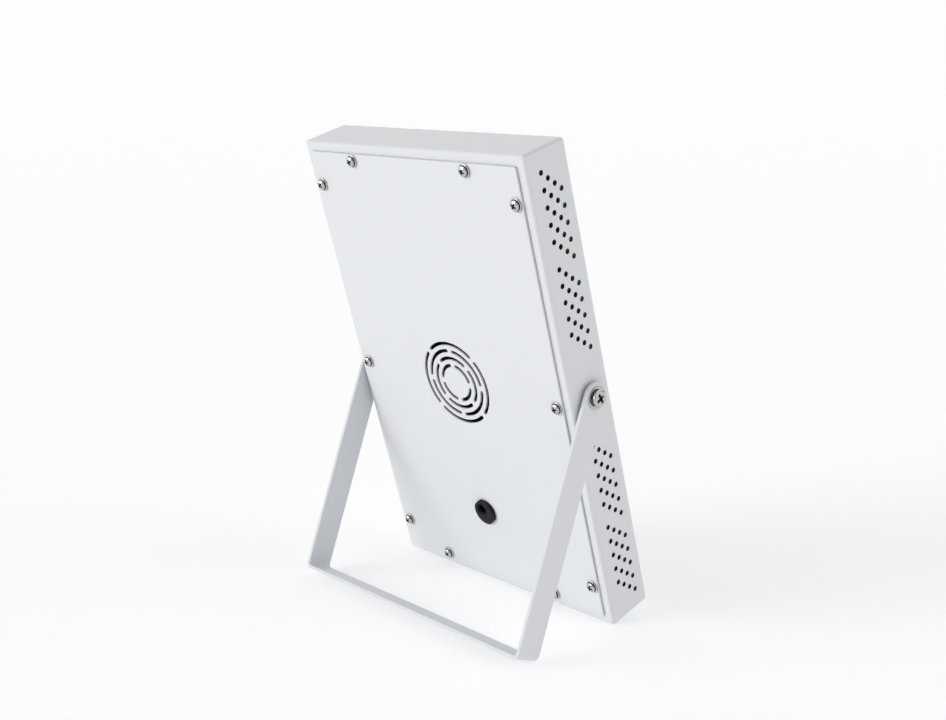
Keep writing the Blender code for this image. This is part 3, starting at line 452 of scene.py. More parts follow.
class Form:
    """A solid under construction."""

    def __init__(self) -> None:
        """Starts an empty solid."""
        self.bm = bmesh.new()

    def box(self, low: Point, high: Point) -> list[bmesh.types.BMVert]:
        """Adds a box between two corners and returns its vertices.

        Args:
            low: its lowest corner.
            high: its highest corner.

        Returns:
            Its eight vertices.
        """
        low, high = Vector(low), Vector(high)
        verts = bmesh.ops.create_cube(self.bm, size=1.0)["verts"]
        bmesh.ops.scale(self.bm, vec=high - low, verts=verts)
        bmesh.ops.translate(self.bm, vec=(low + high) / 2, verts=verts)
        return verts

    def rod(
        self,
        radius: float,
        base: float,
        top: float,
        place: Matrix | None = None,
        segments: int = FINE,
    ) -> None:
        """Adds a rod along Z.

        Args:
            radius: its radius.
            base: where it starts.
            top: where it ends.
            place: a matrix that then carries it.
            segments: its number of sides.
        """
        middle = Matrix.Translation((0, 0, (base + top) / 2))
        bmesh.ops.create_cone(
            self.bm,
            cap_ends=True,
            segments=segments,
            radius1=radius,
            radius2=radius,
            depth=top - base,
            matrix=(place or Matrix()) @ middle,
        )

    def soften(self, edges: Iterable[bmesh.types.BMEdge], radius: float, segments: int) -> None:
        """Rounds edges."""
        bmesh.ops.bevel(
            self.bm,
            geom=list(edges),
            offset=radius,
            segments=segments,
            profile=0.5,
            affect="EDGES",
            material=-1,
        )

    def edges_along(self, axis: int) -> list[bmesh.types.BMEdge]:
        """Returns the edges that run along one axis."""
        runs = [(edge, edge.verts[1].co - edge.verts[0].co) for edge in self.bm.edges]
        return [edge for edge, run in runs if abs(run[axis]) > ALIGNED * run.length]

    def edges_at(self, axis: int, place: float) -> list[bmesh.types.BMEdge]:
        """Returns the edges that lie in one plane."""
        return [edge for edge in self.bm.edges if all(abs(v.co[axis] - place) < NEAR for v in edge.verts)]

    def lathe(self, outline: "Pen", segments: int = FINE, angle: float = TAU) -> None:
        """Turns a drawn outline in the XZ plane about Z.

        Args:
            outline: the pen that drew it.
            segments: how many steps the turn takes.
            angle: how far it turns. Less than a full turn starts from a filled face.
        """
        full = angle >= TAU
        start = outline.edges() if full else [outline.fill()]
        bmesh.ops.spin(
            self.bm, geom=start, cent=(0, 0, 0), axis=(0, 0, 1), angle=angle, steps=segments, use_merge=full
        )

    def raise_faces(self, faces: list[bmesh.types.BMFace], height: Point) -> None:
        """Extrudes flat faces into solids.

        Args:
            faces: the flat faces.
            height: which way and how far they go.
        """
        made = bmesh.ops.extrude_face_region(self.bm, geom=faces)["geom"]
        moved = [item for item in made if isinstance(item, bmesh.types.BMVert)]
        bmesh.ops.translate(self.bm, vec=height, verts=moved)

    def mesh(self, name: str, place: Matrix | None = None) -> bpy.types.Mesh:
        """Ends the work.

        Args:
            name: the mesh's name.
            place: a matrix that carries it.

        Returns:
            A closed mesh, its faces pointing out.
        """
        bmesh.ops.remove_doubles(self.bm, verts=self.bm.verts, dist=MERGE)
        bmesh.ops.recalc_face_normals(self.bm, faces=self.bm.faces)
        made = bpy.data.meshes.new(name)
        self.bm.to_mesh(made)
        self.bm.free()
        if place:
            made.transform(place)
        return made


class Pen:
    """Draws an outline, one straight or one arc at a time, in the XZ or the XY plane."""

    def __init__(self, form: Form, start: tuple[float, float], flat: bool = False) -> None:
        """Puts the pen down.

        Args:
            form: the solid that the outline belongs to.
            start: its first point.
            flat: whether it draws in the XY plane.
        """
        self.form = form
        self.flat = flat
        self.known = set(form.bm.edges)
        self.tip = form.bm.verts.new(self.spot(start))
        self.first = self.tip

    def spot(self, point: tuple[float, float]) -> Vector:
        """Returns a drawn point in space."""
        return Vector((point[0], point[1], 0)) if self.flat else Vector((point[0], 0, point[1]))

    def line(self, *points: tuple[float, float]) -> "Pen":
        """Draws straights through points.

        Args:
            points: where the straights go, in order.

        Returns:
            The pen.
        """
        for point in points:
            made = bmesh.ops.extrude_vert_indiv(self.form.bm, verts=[self.tip])
            self.tip = made["verts"][0]
            self.tip.co = self.spot(point)
        return self

    def arc(self, centre: tuple[float, float], angle: float, steps: int) -> "Pen":
        """Draws an arc, positive from the first axis towards the second.

        Args:
            centre: the arc's centre.
            angle: how far it turns.
            steps: its number of straights.

        Returns:
            The pen.
        """
        axis = (0, 0, 1) if self.flat else (0, -1, 0)
        made = bmesh.ops.spin(
            self.form.bm, geom=[self.tip], cent=self.spot(centre), axis=axis, angle=angle, steps=steps
        )
        self.tip = next(item for item in made["geom_last"] if isinstance(item, bmesh.types.BMVert))
        return self

    def close(self) -> "Pen":
        """Joins the last point to the first.

        Returns:
            The pen.
        """
        if (self.tip.co - self.first.co).length < 1e-6:
            bmesh.ops.pointmerge(self.form.bm, verts=[self.tip, self.first], merge_co=self.first.co)
        else:
            self.form.bm.edges.new((self.tip, self.first))
        return self

    def edges(self) -> list[bmesh.types.BMEdge]:
        """Returns what this pen has drawn."""
        return [edge for edge in self.form.bm.edges if edge not in self.known]

    def fill(self) -> bmesh.types.BMFace:
        """Fills the closed outline with one face."""
        return bmesh.ops.contextual_create(self.form.bm, geom=self.edges())["faces"][0]


def link_new(name: str, data: bpy.types.ID) -> bpy.types.Object:
    """Returns a new object of a mesh, a light or a camera, linked to the scene.

    Args:
        name: its name.
        data: what it shows.

    Returns:
        The object.
    """
    made = bpy.data.objects.new(name, data)
    bpy.context.scene.collection.objects.link(made)
    return made


def mark_faces(mesh: bpy.types.Mesh, name: str, chosen: Callable[[bpy.types.MeshPolygon], bool]) -> None:
    """Marks a mesh's faces with 1 where they are chosen, or else 0.

    Args:
        mesh: the mesh.
        name: the mark's name.
        chosen: tells which faces are chosen.
    """
    mark = mesh.attributes.new(name, "FLOAT", "FACE")
    for face in mesh.polygons:
        mark.data[face.index].value = float(chosen(face))


def carve(target: bpy.types.Mesh, *steps: tuple[Cut, bpy.types.Mesh]) -> bpy.types.Mesh:
    """Works tools into a mesh with Booleans.

    Args:
        target: the mesh.
        steps: what to do, and with which tool.

    Returns:
        The new mesh.
    """
    blank = link_new("blank", target)
    tools = []
    for operation, tool_mesh in steps:
        tool = link_new("tool", tool_mesh)
        modifier = blank.modifiers.new("cut", "BOOLEAN")
        modifier.operation = operation.value
        modifier.solver = "EXACT"
        modifier.object = tool
        tools.append(tool)
    made = settle(blank)
    for tool in tools:
        bpy.data.objects.remove(tool)
    return made


def settle(blank: bpy.types.Object) -> bpy.types.Mesh:
    """Returns an object's mesh with its modifiers worked in, and removes the object.

    Args:
        blank: the object.

    Returns:
        The mesh that its modifiers leave.
    """
    graph = bpy.context.evaluated_depsgraph_get()
    made = bpy.data.meshes.new_from_object(blank.evaluated_get(graph), depsgraph=graph)
    made.name = blank.data.name
    bpy.data.objects.remove(blank)
    return made


def weigh_normals(mesh: bpy.types.Mesh, angle: float = SHARP) -> bpy.types.Mesh:
    """Shades a mesh smooth between sharp edges, its flats kept flat.

    Args:
        mesh: the mesh.
        angle: an edge that turns by more than this stays sharp.

    Returns:
        The shaded mesh.
    """
    mesh.shade_smooth()
    mesh.set_sharp_from_angle(angle=angle)
    blank = link_new("blank", mesh)
    modifier = blank.modifiers.new("weigh", "WEIGHTED_NORMAL")
    modifier.keep_sharp = True
    return settle(blank)


def soften_all(mesh: bpy.types.Mesh, radius: float, segments: int) -> bpy.types.Mesh:
    """Rounds every sharp edge of a mesh with a Bevel modifier.

    Args:
        mesh: the mesh.
        radius: how wide the rounding is.
        segments: its number of steps.

    Returns:
        The rounded mesh.
    """
    blank = link_new("blank", mesh)
    modifier = blank.modifiers.new("soften", "BEVEL")
    modifier.width = radius
    modifier.segments = segments
    modifier.limit_method = "ANGLE"
    modifier.angle_limit = math.radians(50)
    modifier.use_clamp_overlap = True
    modifier.miter_outer = "MITER_ARC"
    return settle(blank)


def fit_piece(
    name: str,
    mesh: bpy.types.Mesh,
    place: Matrix,
    finish: Finish,
    body: Body = Body.PANEL,
    stands_for: str | None = None,
) -> None:
    """Adds a finished piece to the model.

    Args:
        name: its name.
        mesh: its mesh.
        place: where the mesh goes.
        finish: what it is finished in.
        body: the body that it rides on.
        stands_for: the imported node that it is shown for.
    """
    mesh.name = name
    mesh.transform(place)
    mesh.materials.clear()
    mesh.materials.append(finish.material())
    piece = link_new(name, mesh)
    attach(piece, body.value)
    if stands_for:
        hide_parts(stands_for)
    LOG.info("%s rides on %s with %d faces", name, body.value, len(mesh.polygons))


def dress_nodes(finish: Finish, *nodes: str) -> None:
    """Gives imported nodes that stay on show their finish.

    Args:
        finish: the finish.
        nodes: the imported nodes' names.
    """
    for name in nodes:
        node = frame["nodes"][name]
        node.data.materials.clear()
        node.data.materials.append(finish.material())
        LOG.info("%s is finished in %s", name, finish.name)


@dataclass
class Standing:
    """Where the panel and the bail stand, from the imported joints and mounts."""

    fan_rear: float = 1 * MM
    fan_height: float = 150 * MM

    def mount_axis(self, name: str) -> Vector:
        """Returns a mount's outward axis."""
        return Vector(next(mount["axis"] for mount in frame["record"]["mounts"] if mount["name"] == name))

    def joint_place(self, name: str) -> Vector:
        """Returns a joint's place."""
        return Vector(next(joint["pos_m"] for joint in frame["joints"] if joint["name"] == name))

    def turn(self, down: Vector) -> Matrix:
        """Returns the turn about X that carries -Z to a direction."""
        return Matrix.Rotation(math.atan2(down.y, -down.z), 4, "X")

    def panel(self) -> Matrix:
        """Returns the panel's frame in the world.

        Returns:
            The matrix that carries the panel's own frame there.
        """
        turn = self.turn(self.mount_axis("case_underside"))
        fan = turn @ Vector((0, self.fan_rear, self.fan_height))
        return Matrix.Translation(self.joint_place("fan_spin") - fan) @ turn

    def bail(self) -> Matrix:
        """Returns the bail's frame in the world: the hinge axis is X, the arms run down Z."""
        turn = self.turn(self.mount_axis("bail_foot"))
        return Matrix.Translation(self.joint_place("bail_hinge")) @ turn


# ---------------------------------------------------------------- case and cover


@dataclass
class Case:
    """The folded case and its screwed rear cover."""

    width: float = 188 * MM
    height: float = 300 * MM
    depth: float = 33.4 * MM
    wall: float = 1.2 * MM
    rear_bend: float = 2 * MM
    front_bend: float = 3 * MM
    flange: float = 15 * MM
    border: float = 10 * MM
    window_corner: float = 2.5 * MM
    cover_margin: float = 6 * MM
    cover_gap: float = 0.3 * MM
    cover_thickness: float = 1.2 * MM
    screw_inset: float = 10.2 * MM
    screw_rise: float = 122.8 * MM
    screw_spread: float = 48.8 * MM
    screw_hole: float = 2.25 * MM
    vent_radius: float = 1.6 * MM
    vent_step: float = 4.35 * MM
    vent_depth: float = 17.2 * MM
    vent_group: float = 55.4 * MM
    vent_row: float = 9.8446 * MM
    pivot: tuple[float, float] = (16.7 * MM, 150.6 * MM)
    pivot_hole: float = 2.75 * MM
    side_hole: float = 1.5 * MM
    side_hole_drop: float = 19.6 * MM
    inlet_height: float = 57 * MM
    inlet_hole: float = 6.85 * MM
    grille_middles: tuple[float, ...] = (26.5 * MM, 21.55 * MM, 16.6 * MM, 11.65 * MM)
    grille_slot: float = 2.4 * MM
    grille_bridge: float = 2.9 * MM
    stud_radius: float = 1.5 * MM
    stud_base: float = 20.4 * MM
    stud_inset: float = 6 * MM
    stud_drop: float = 30 * MM
    cover_corner: float = 1 * MM
    cover_edge: float = 0.22 * MM

    @property
    def half(self) -> float:
        """Half the panel's width."""
        return self.width / 2

    @property
    def middle(self) -> float:
        """Half the panel's height."""
        return self.height / 2

    @property
    def cover_face(self) -> float:
        """The depth of the cover's outer face."""
        return -self.cover_gap - self.cover_thickness

    def screw_places(self) -> list[tuple[float, float]]:
        """Returns the cover screws' X and Z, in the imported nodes' order.

        Returns:
            The ten places.
        """
        side = self.half - self.screw_inset
        rises = (self.screw_rise, 0.0, -self.screw_rise)
        sides = [(sign * side, self.middle + rise) for sign in (-1, 1) for rise in rises]
        heights = (self.height - self.screw_inset, self.screw_inset)
        ends = [(sign * self.screw_spread, height) for height in heights for sign in (-1, 1)]
        return ends[:2] + sides + ends[2:]

    def stud_places(self) -> list[tuple[float, float]]:
        """Returns the X and Z of the studs behind the front border.

        Returns:
            The six places.
        """
        inset, rise = self.stud_inset, self.middle - self.stud_drop
        side = self.half - inset
        places = [(sign * side, self.middle + lift) for sign in (-1, 1) for lift in (-rise, rise)]
        return places + [(0.0, inset), (0.0, self.height - inset)]

    def vent_places(self) -> list[tuple[float, float]]:
        """Returns one side's vent centres, as Y and Z.

        Returns:
            The centres, in four groups of five slanted rows of four.
        """
        places = []
        for group in (-2, -1, 1, 2):
            for row in range(5):
                for column in range(4):
                    across = (column - 1.5) * self.vent_step
                    drop = (row - 2) * self.vent_row + across
                    places.append((self.vent_depth + across, self.middle + group * self.vent_group - drop))
        return places

    def folded(self, low: Point, high: Point, rear: float, front: float) -> bpy.types.Mesh:
        """Makes a box with one radius round its front and another on its other edges.

        Args:
            low: its lowest corner.
            high: its highest corner.
            rear: the radius of the rear and depth edges.
            front: the radius round the front.

        Returns:
            The mesh.
        """
        form = Form()
        form.box(low, high)
        weight = form.bm.edges.layers.float.new("bevel_weight_edge")
        largest = max(rear, front)
        for edge in form.bm.edges:
            edge[weight] = rear / largest
        for edge in form.edges_at(1, high[1]):
            edge[weight] = front / largest
        blank = link_new("blank", form.mesh("folded"))
        modifier = blank.modifiers.new("bend", "BEVEL")
        modifier.width = largest
        modifier.segments = 6
        modifier.limit_method = "WEIGHT"
        return settle(blank)

    def opening(self, inset: float, near: float, far: float, corner: float) -> bpy.types.Mesh:
        """Makes the cutter of a rectangular opening with round corners.

        Args:
            inset: how far its sides stand in from the case's.
            near: the depth where it starts.
            far: the depth where it ends.
            corner: the radius of its corners.

        Returns:
            The cutter.
        """
        form = Form()
        form.box((inset - self.half, near, inset), (self.half - inset, far, self.height - inset))
        form.soften(form.edges_along(1), corner, 5)
        return form.mesh("opening")

    def side_cutters(self) -> bpy.types.Mesh:
        """Makes the cutters of the vents, the pivot holes and the small holes under them.

        Returns:
            The cutters, as one mesh.
        """
        form = Form()
        reach = self.wall + EPS
        y, z = self.pivot
        holes = [(self.vent_radius, place, COARSE) for place in self.vent_places()]
        holes += [(self.pivot_hole, (y, z), ROUND), (self.side_hole, (y, z - self.side_hole_drop), COARSE)]
        for sign in (-1, 1):
            for radius, (depth, height), segments in holes:
                place = Matrix.Translation((sign * self.half, depth, height)) @ TO_RIGHT
                form.rod(radius, -reach, reach, place, segments)
        return form.mesh("side_holes")

    def flange_cutters(self, near: float, far: float) -> bpy.types.Mesh:
        """Makes the cutters of the cover screws' holes.

        Args:
            near: the depth where they start.
            far: the depth where they end.

        Returns:
            The cutters, as one mesh.
        """
        form = Form()
        for x, z in self.screw_places():
            form.rod(self.screw_hole, near, far, Matrix.Translation((x, 0, z)) @ TO_FRONT, ROUND)
        return form.mesh("flange_holes")

    def studs(self) -> bpy.types.Mesh:
        """Makes the studs that the lamp board hangs from.

        Returns:
            The studs, as one mesh.
        """
        form = Form()
        for x, z in self.stud_places():
            top = self.depth - self.wall / 2
            form.rod(self.stud_radius, self.stud_base, top, Matrix.Translation((x, 0, z)) @ TO_FRONT, COARSE)
        return form.mesh("studs")

    def shell(self) -> bpy.types.Mesh:
        """Makes the folded case.

        Returns:
            The mesh.
        """
        wall = self.wall
        outside = self.folded(
            (-self.half, 0, 0), (self.half, self.depth, self.height), self.rear_bend, self.front_bend
        )
        inside = self.folded(
            (wall - self.half, wall, wall),
            (self.half - wall, self.depth - wall, self.height - wall),
            self.rear_bend - wall,
            self.front_bend - wall,
        )
        rear = self.opening(self.flange, -EPS, wall + EPS, self.window_corner)
        front = self.opening(self.border, self.depth - wall - EPS, self.depth + EPS, self.window_corner)
        made = carve(
            outside,
            (Cut.AWAY, inside),
            (Cut.AWAY, rear),
            (Cut.AWAY, front),
            (Cut.AWAY, self.side_cutters()),
            (Cut.AWAY, self.flange_cutters(-wall - EPS, wall + EPS)),
            (Cut.JOIN, self.studs()),
        )
        return weigh_normals(made)

    def slot_cutters(self) -> bpy.types.Mesh:
        """Makes the grille's cutters: rings of arc slots with round ends, the bridges staggered.

        Returns:
            The cutters, as one mesh.
        """
        form = Form()
        half = self.grille_slot / 2
        faces = []
        for ring, middle in enumerate(self.grille_middles):
            bridge = (self.grille_bridge + self.grille_slot) / 2 / middle
            first = TAU / 8 * (1 - ring % 2)
            sweep = TAU / 4 - 2 * bridge
            for slot in range(4):
                start = first + slot * TAU / 4 + bridge
                end = start + sweep
                near = (middle * math.cos(start), middle * math.sin(start))
                far = (middle * math.cos(end), middle * math.sin(end))
                outer = ((middle + half) * math.cos(start), (middle + half) * math.sin(start))
                pen = Pen(form, outer, flat=True)
                pen.arc((0, 0), sweep, 20).arc(far, math.pi, 10)
                pen.arc((0, 0), -sweep, 20).arc(near, math.pi, 10)
                faces.append(pen.close().fill())
        form.raise_faces(faces, (0, 0, self.cover_thickness + 2 * EPS))
        place = Matrix.Translation((0, self.cover_face - EPS, self.middle)) @ TO_FRONT
        return form.mesh("slots", place)

    def cover(self) -> bpy.types.Mesh:
        """Makes the rear cover with its grille, its inlet hole and its screw holes.

        Returns:
            The mesh.
        """
        margin = self.cover_margin
        form = Form()
        form.box(
            (margin - self.half, self.cover_face, margin),
            (self.half - margin, -self.cover_gap, self.height - margin),
        )
        form.soften(form.edges_along(1), self.cover_corner, 5)
        form.soften(form.edges_at(1, self.cover_face), self.cover_edge, 2)
        plate = form.mesh("plate")
        inlet = Form()
        place = Matrix.Translation((0, 0, self.inlet_height)) @ TO_FRONT
        inlet.rod(self.inlet_hole, self.cover_face - EPS, EPS, place)
        made = carve(
            plate,
            (Cut.AWAY, self.slot_cutters()),
            (Cut.AWAY, inlet.mesh("inlet_hole")),
            (Cut.AWAY, self.flange_cutters(self.cover_face - EPS, EPS)),
        )
        return weigh_normals(made)

    def in_inner_shade(self, face: bpy.types.MeshPolygon) -> bool:
        """Returns whether a face of the case or the cover gets the painted shade that stands in for the dark
        inside of the case.

        Args:
            face: the face, in the panel's own frame.

        Returns:
            True inside the case, on the cover's inner face and in the walls of the side holes.
        """
        x, y, z = face.center
        skin = self.wall * 0.8
        side = self.half - abs(x)
        rest = min(z, self.height - z, self.depth - y)
        within = min(side, rest) > skin and (y > skin or -self.cover_gap * 1.1 < y < 0)
        in_hole = abs(side - self.wall / 2) < self.wall / 6 and min(rest, y) > self.front_bend
        return within or in_hole

    def build(self, stand: Standing) -> None:
        """Adds the case and the cover.

        Args:
            stand: where the panel stands.
        """
        for name, mesh, node in (
            ("case_shell", self.shell(), "housing"),
            ("cover_plate", self.cover(), "rear_cover"),
        ):
            # faces inside the case, on the cover's inner face and in the side holes' walls are marked for the
            # painted shade
            mark_faces(mesh, INSIDE, self.in_inner_shade)
            fit_piece(name, mesh, stand.panel(), CASE_PAINT, stands_for=node)


# ---------------------------------------------------------------- screws and washers


@dataclass
class PanHead:
    """A pan-head cross-recess screw, its seat at Z = 0 and its head up Z."""

    shank: float
    head: float
    head_height: float
    length: float
    flange: tuple[float, float] | None = None
    recess_depth: float = 1.5 * MM
    moat: float = 0.3 * MM
    foot: float = 0.12 * MM
    lip_share: float = 0.42
    side_share: float = 0.3
    shoulder_share: float = 0.25
    shoulder_turn: float = math.radians(58)
    point: tuple[float, float] = (0.72, 0.4)
    arm: tuple[float, float] = (0.74, 0.19)
    arm_taper: tuple[float, float, float] = (0.5, 0.75, 1.0)

    @property
    def seat(self) -> float:
        """How high the head starts."""
        return self.flange[1] if self.flange else 0.0

    @property
    def top(self) -> float:
        """How high the head's crown stands."""
        return self.seat + self.head_height

    def blank(self) -> bpy.types.Mesh:
        """Makes the screw without its recess.

        Returns:
            The mesh.
        """
        form = Form()
        seat, top = self.seat, self.top
        narrow, taper = (share * self.shank for share in self.point)
        pen = Pen(form, (0, -self.length))
        pen.line((narrow, -self.length), (self.shank, -self.length + taper), (self.shank, 0))
        if self.flange:
            radius, thick = self.flange
            lip = thick * self.lip_share
            pen.line((radius - lip, 0)).arc((radius - lip, lip), math.pi / 2, 4)
            pen.line((radius, thick - lip)).arc((radius - lip, thick - lip), math.pi / 2, 4)
            pen.line((self.head + self.moat, seat))
        side, foot = self.head_height * self.side_share, self.foot
        shoulder = self.head * self.shoulder_share
        pen.line((self.head - foot, seat)).arc((self.head - foot, seat + foot), math.pi / 2, 3)
        pen.line((self.head, seat + side)).arc((self.head - shoulder, seat + side), self.shoulder_turn, 5)
        rim, rise = pen.tip.co.x, top - pen.tip.co.z
        crown = (rim**2 + rise**2) / (2 * rise)
        pen.arc((0, top - crown), math.asin(rim / crown), 6)
        form.lathe(pen)
        return form.mesh("screw")

    def recess(self, turn: float) -> bpy.types.Mesh:
        """Makes one tapered bar of the cross recess's cutter.

        Args:
            turn: the bar's turn about the screw.

        Returns:
            The cutter.
        """
        form = Form()
        long, wide = (share * self.head for share in self.arm)
        verts = form.box((-long, -wide, self.top - self.recess_depth), (long, wide, self.top + EPS))
        floor = [vert for vert in verts if vert.co.z < self.top]
        bmesh.ops.scale(form.bm, vec=self.arm_taper, verts=floor)
        return form.mesh("recess", Matrix.Rotation(turn, 4, "Z"))

    def mesh(self) -> bpy.types.Mesh:
        """Makes the whole screw.

        Returns:
            The mesh.
        """
        turns = (0.0, math.pi / 2)
        made = carve(self.blank(), *((Cut.AWAY, self.recess(turn)) for turn in turns))
        made = weigh_normals(made, math.radians(40))
        # the recess and the corner round the head's foot are marked for the painted shade
        mark_faces(made, RECESS, self.in_painted_shade)
        return made

    def in_painted_shade(self, face: bpy.types.MeshPolygon) -> bool:
        """Returns whether a face gets the painted shade and the rougher plating.

        Args:
            face: a face of the screw.

        Returns:
            True in the recess and in the corner round the head's foot.
        """
        x, y, z = face.center
        reach = math.hypot(x, y)
        crown = self.top - (reach / self.head) ** 2 * self.head_height * 0.5
        within = reach < self.head * 0.76 and z > self.top - self.recess_depth - EPS / 4
        foot = abs(reach - self.head) < self.moat and z < self.top - self.head_height * 0.75
        return (within and z < crown - self.foot) or (foot and face.normal.z > -0.5)


@dataclass
class CoverScrews:
    """The ten flanged screws that hold the rear cover."""

    case: Case
    screw: PanHead = field(
        default_factory=lambda: PanHead(
            1.9 * MM, 3.1 * MM, 2 * MM, 8 * MM, (4.1 * MM, 0.8 * MM), 1.6 * MM
        )
    )
    turns: tuple[float, ...] = (0.35, 1.2, 0.8, 0.1, 0.6, 1.0, 0.25, 1.4, 0.5, 0.9)

    def build(self, stand: Standing) -> None:
        """Adds the screws, each turned as it was driven home.

        Args:
            stand: where the panel stands.
        """
        pattern = self.screw.mesh()
        seat = self.case.cover_face - self.case.cover_gap
        for number, ((x, z), turn) in enumerate(zip(self.case.screw_places(), self.turns), 1):
            place = stand.panel() @ Matrix.Translation((x, seat, z)) @ TO_REAR
            place = place @ Matrix.Rotation(turn, 4, "Z")
            node = f"cover_screw_{number:02d}"
            fit_piece(f"driven_{node}", pattern.copy(), place, NICKEL, stands_for=node)


@dataclass
class Washer:
    """A flat ring with softened edges, split if its angle is less than a full turn."""

    inner: float
    outer: float
    thickness: float
    angle: float = TAU
    lip: float = 0.2 * MM

    def mesh(self) -> bpy.types.Mesh:
        """Makes the ring on Z = 0.

        Returns:
            The mesh.
        """
        form = Form()
        lip, top = self.lip, self.thickness
        pen = Pen(form, (self.inner, 0)).line((self.outer - lip, 0))
        pen.arc((self.outer - lip, lip), math.pi / 2, 4).line((self.outer, top - lip))
        pen.arc((self.outer - lip, top - lip), math.pi / 2, 4).line((self.inner + lip, top))
        pen.arc((self.inner + lip, top - lip), math.pi / 2, 3)
        form.lathe(pen.close(), FINE, self.angle)
        return weigh_normals(form.mesh("washer"))


@dataclass
class Pivots:
    """The clamped stack on each side that the bail turns on."""

    case: Case
    arm_inner: float = 95.9 * MM
    arm_thickness: float = 2.3 * MM
    gap: float = 0.3 * MM
    seam: float = 0.15 * MM
    spacer: Washer = field(default_factory=lambda: Washer(2.75 * MM, 6.5 * MM, 1.3 * MM))
    flat: Washer = field(default_factory=lambda: Washer(2.75 * MM, 6.9 * MM, 0.6 * MM))
    split: Washer = field(default_factory=lambda: Washer(2.75 * MM, 4.7 * MM, 0.5 * MM, math.radians(345)))
    screw: PanHead = field(
        default_factory=lambda: PanHead(2.4 * MM, 5.2 * MM, 1.75 * MM, 11 * MM, None, 1.4 * MM)
    )

    def build(self, stand: Standing) -> None:
        """Adds the stacks.

        Args:
            stand: where the panel stands.
        """
        flat_seat = self.arm_inner + self.arm_thickness + self.seam
        split_seat = flat_seat + self.flat.thickness + self.seam
        head_seat = split_seat + self.split.thickness + self.seam
        stack = (
            ("pivot_spacer", self.spacer.mesh(), self.case.half + self.gap, NYLON, "nylon", 0.0),
            ("pivot_washer", self.flat.mesh(), flat_seat, NICKEL, "nickel", 0.0),
            ("pivot_spring_washer", self.split.mesh(), split_seat, NICKEL, "nickel", 2.4),
            ("pivot_screw", self.screw.mesh(), head_seat, NICKEL, "nickel", 0.3),
        )
        depth, height = self.case.pivot
        for side, sign, aim in (("left", -1, TO_LEFT), ("right", 1, TO_RIGHT)):
            for name, pattern, seat, finish, slot, turn in stack:
                place = stand.panel() @ Matrix.Translation((sign * seat, depth, height)) @ aim
                place = place @ Matrix.Rotation(turn, 4, "Z")
                node = f"{name}_{side}"
                fit_piece(f"fitted_{node}", pattern.copy(), place, finish, stands_for=node)


# ---------------------------------------------------------------- bail


@dataclass
class Bail:
    """The strip bent into a U."""

    inner: float = 95.9 * MM
    thickness: float = 2.3 * MM
    width: float = 18 * MM
    reach: float = 152.2255 * MM
    bend: float = 2 * MM
    hole: float = 2.75 * MM
    edge: float = 0.35 * MM

    def strip(self) -> bpy.types.Mesh:
        """Makes the bent strip, its arms longer than they need to be.

        Returns:
            The mesh.
        """
        form = Form()
        outer, top = self.inner + self.thickness, self.width
        foot = -self.reach - self.thickness
        turn = math.pi / 2
        right = (self.inner - self.bend, self.bend - self.reach)
        left = (self.bend - self.inner, self.bend - self.reach)
        pen = Pen(form, (outer, top)).line((outer, right[1])).arc(right, -turn, 10)
        pen.line((left[0], foot)).arc(left, -turn, 10).line((-outer, top), (-self.inner, top))
        pen.line((-self.inner, left[1])).arc(left, turn, 8).line((right[0], -self.reach)).arc(right, turn, 8)
        pen.line((self.inner, top))
        form.raise_faces([pen.close().fill()], (0, self.width, 0))
        return form.mesh("strip", Matrix.Translation((0, -self.width / 2, 0)))

    def ends(self) -> bpy.types.Mesh:
        """Makes the solid whose outline rounds the arms' tops.

        Returns:
            The solid.
        """
        form = Form()
        half = self.width / 2
        foot = -self.reach - 2 * self.width
        pen = Pen(form, (half, foot), flat=True).line((half, 0)).arc((0, 0), math.pi, 32).line((-half, foot))
        span = self.inner + self.thickness + EPS
        form.raise_faces([pen.close().fill()], (0, 0, 2 * span))
        turn = Matrix(((0, 0, 1, -span), (1, 0, 0, 0), (0, 1, 0, 0), (0, 0, 0, 1)))
        return form.mesh("ends", turn)

    def holes(self) -> bpy.types.Mesh:
        """Makes the cutters of the pivot holes.

        Returns:
            The cutters, as one mesh.
        """
        form = Form()
        for sign in (-1, 1):
            place = Matrix.Translation((sign * (self.inner + self.thickness / 2), 0, 0)) @ TO_RIGHT
            form.rod(self.hole, -self.thickness, self.thickness, place, ROUND)
        return form.mesh("holes")

    def build(self, stand: Standing) -> None:
        """Adds the bail.

        Args:
            stand: where it stands.
        """
        made = carve(self.strip(), (Cut.COMMON, self.ends()))
        made = soften_all(made, self.edge, 3)
        made = carve(made, (Cut.AWAY, self.holes()))
        fit_piece(
            "bail_strip", weigh_normals(made), stand.bail(), CASE_PAINT, Body.BAIL, "bail_stand"
        )


# ---------------------------------------------------------------- power inlet


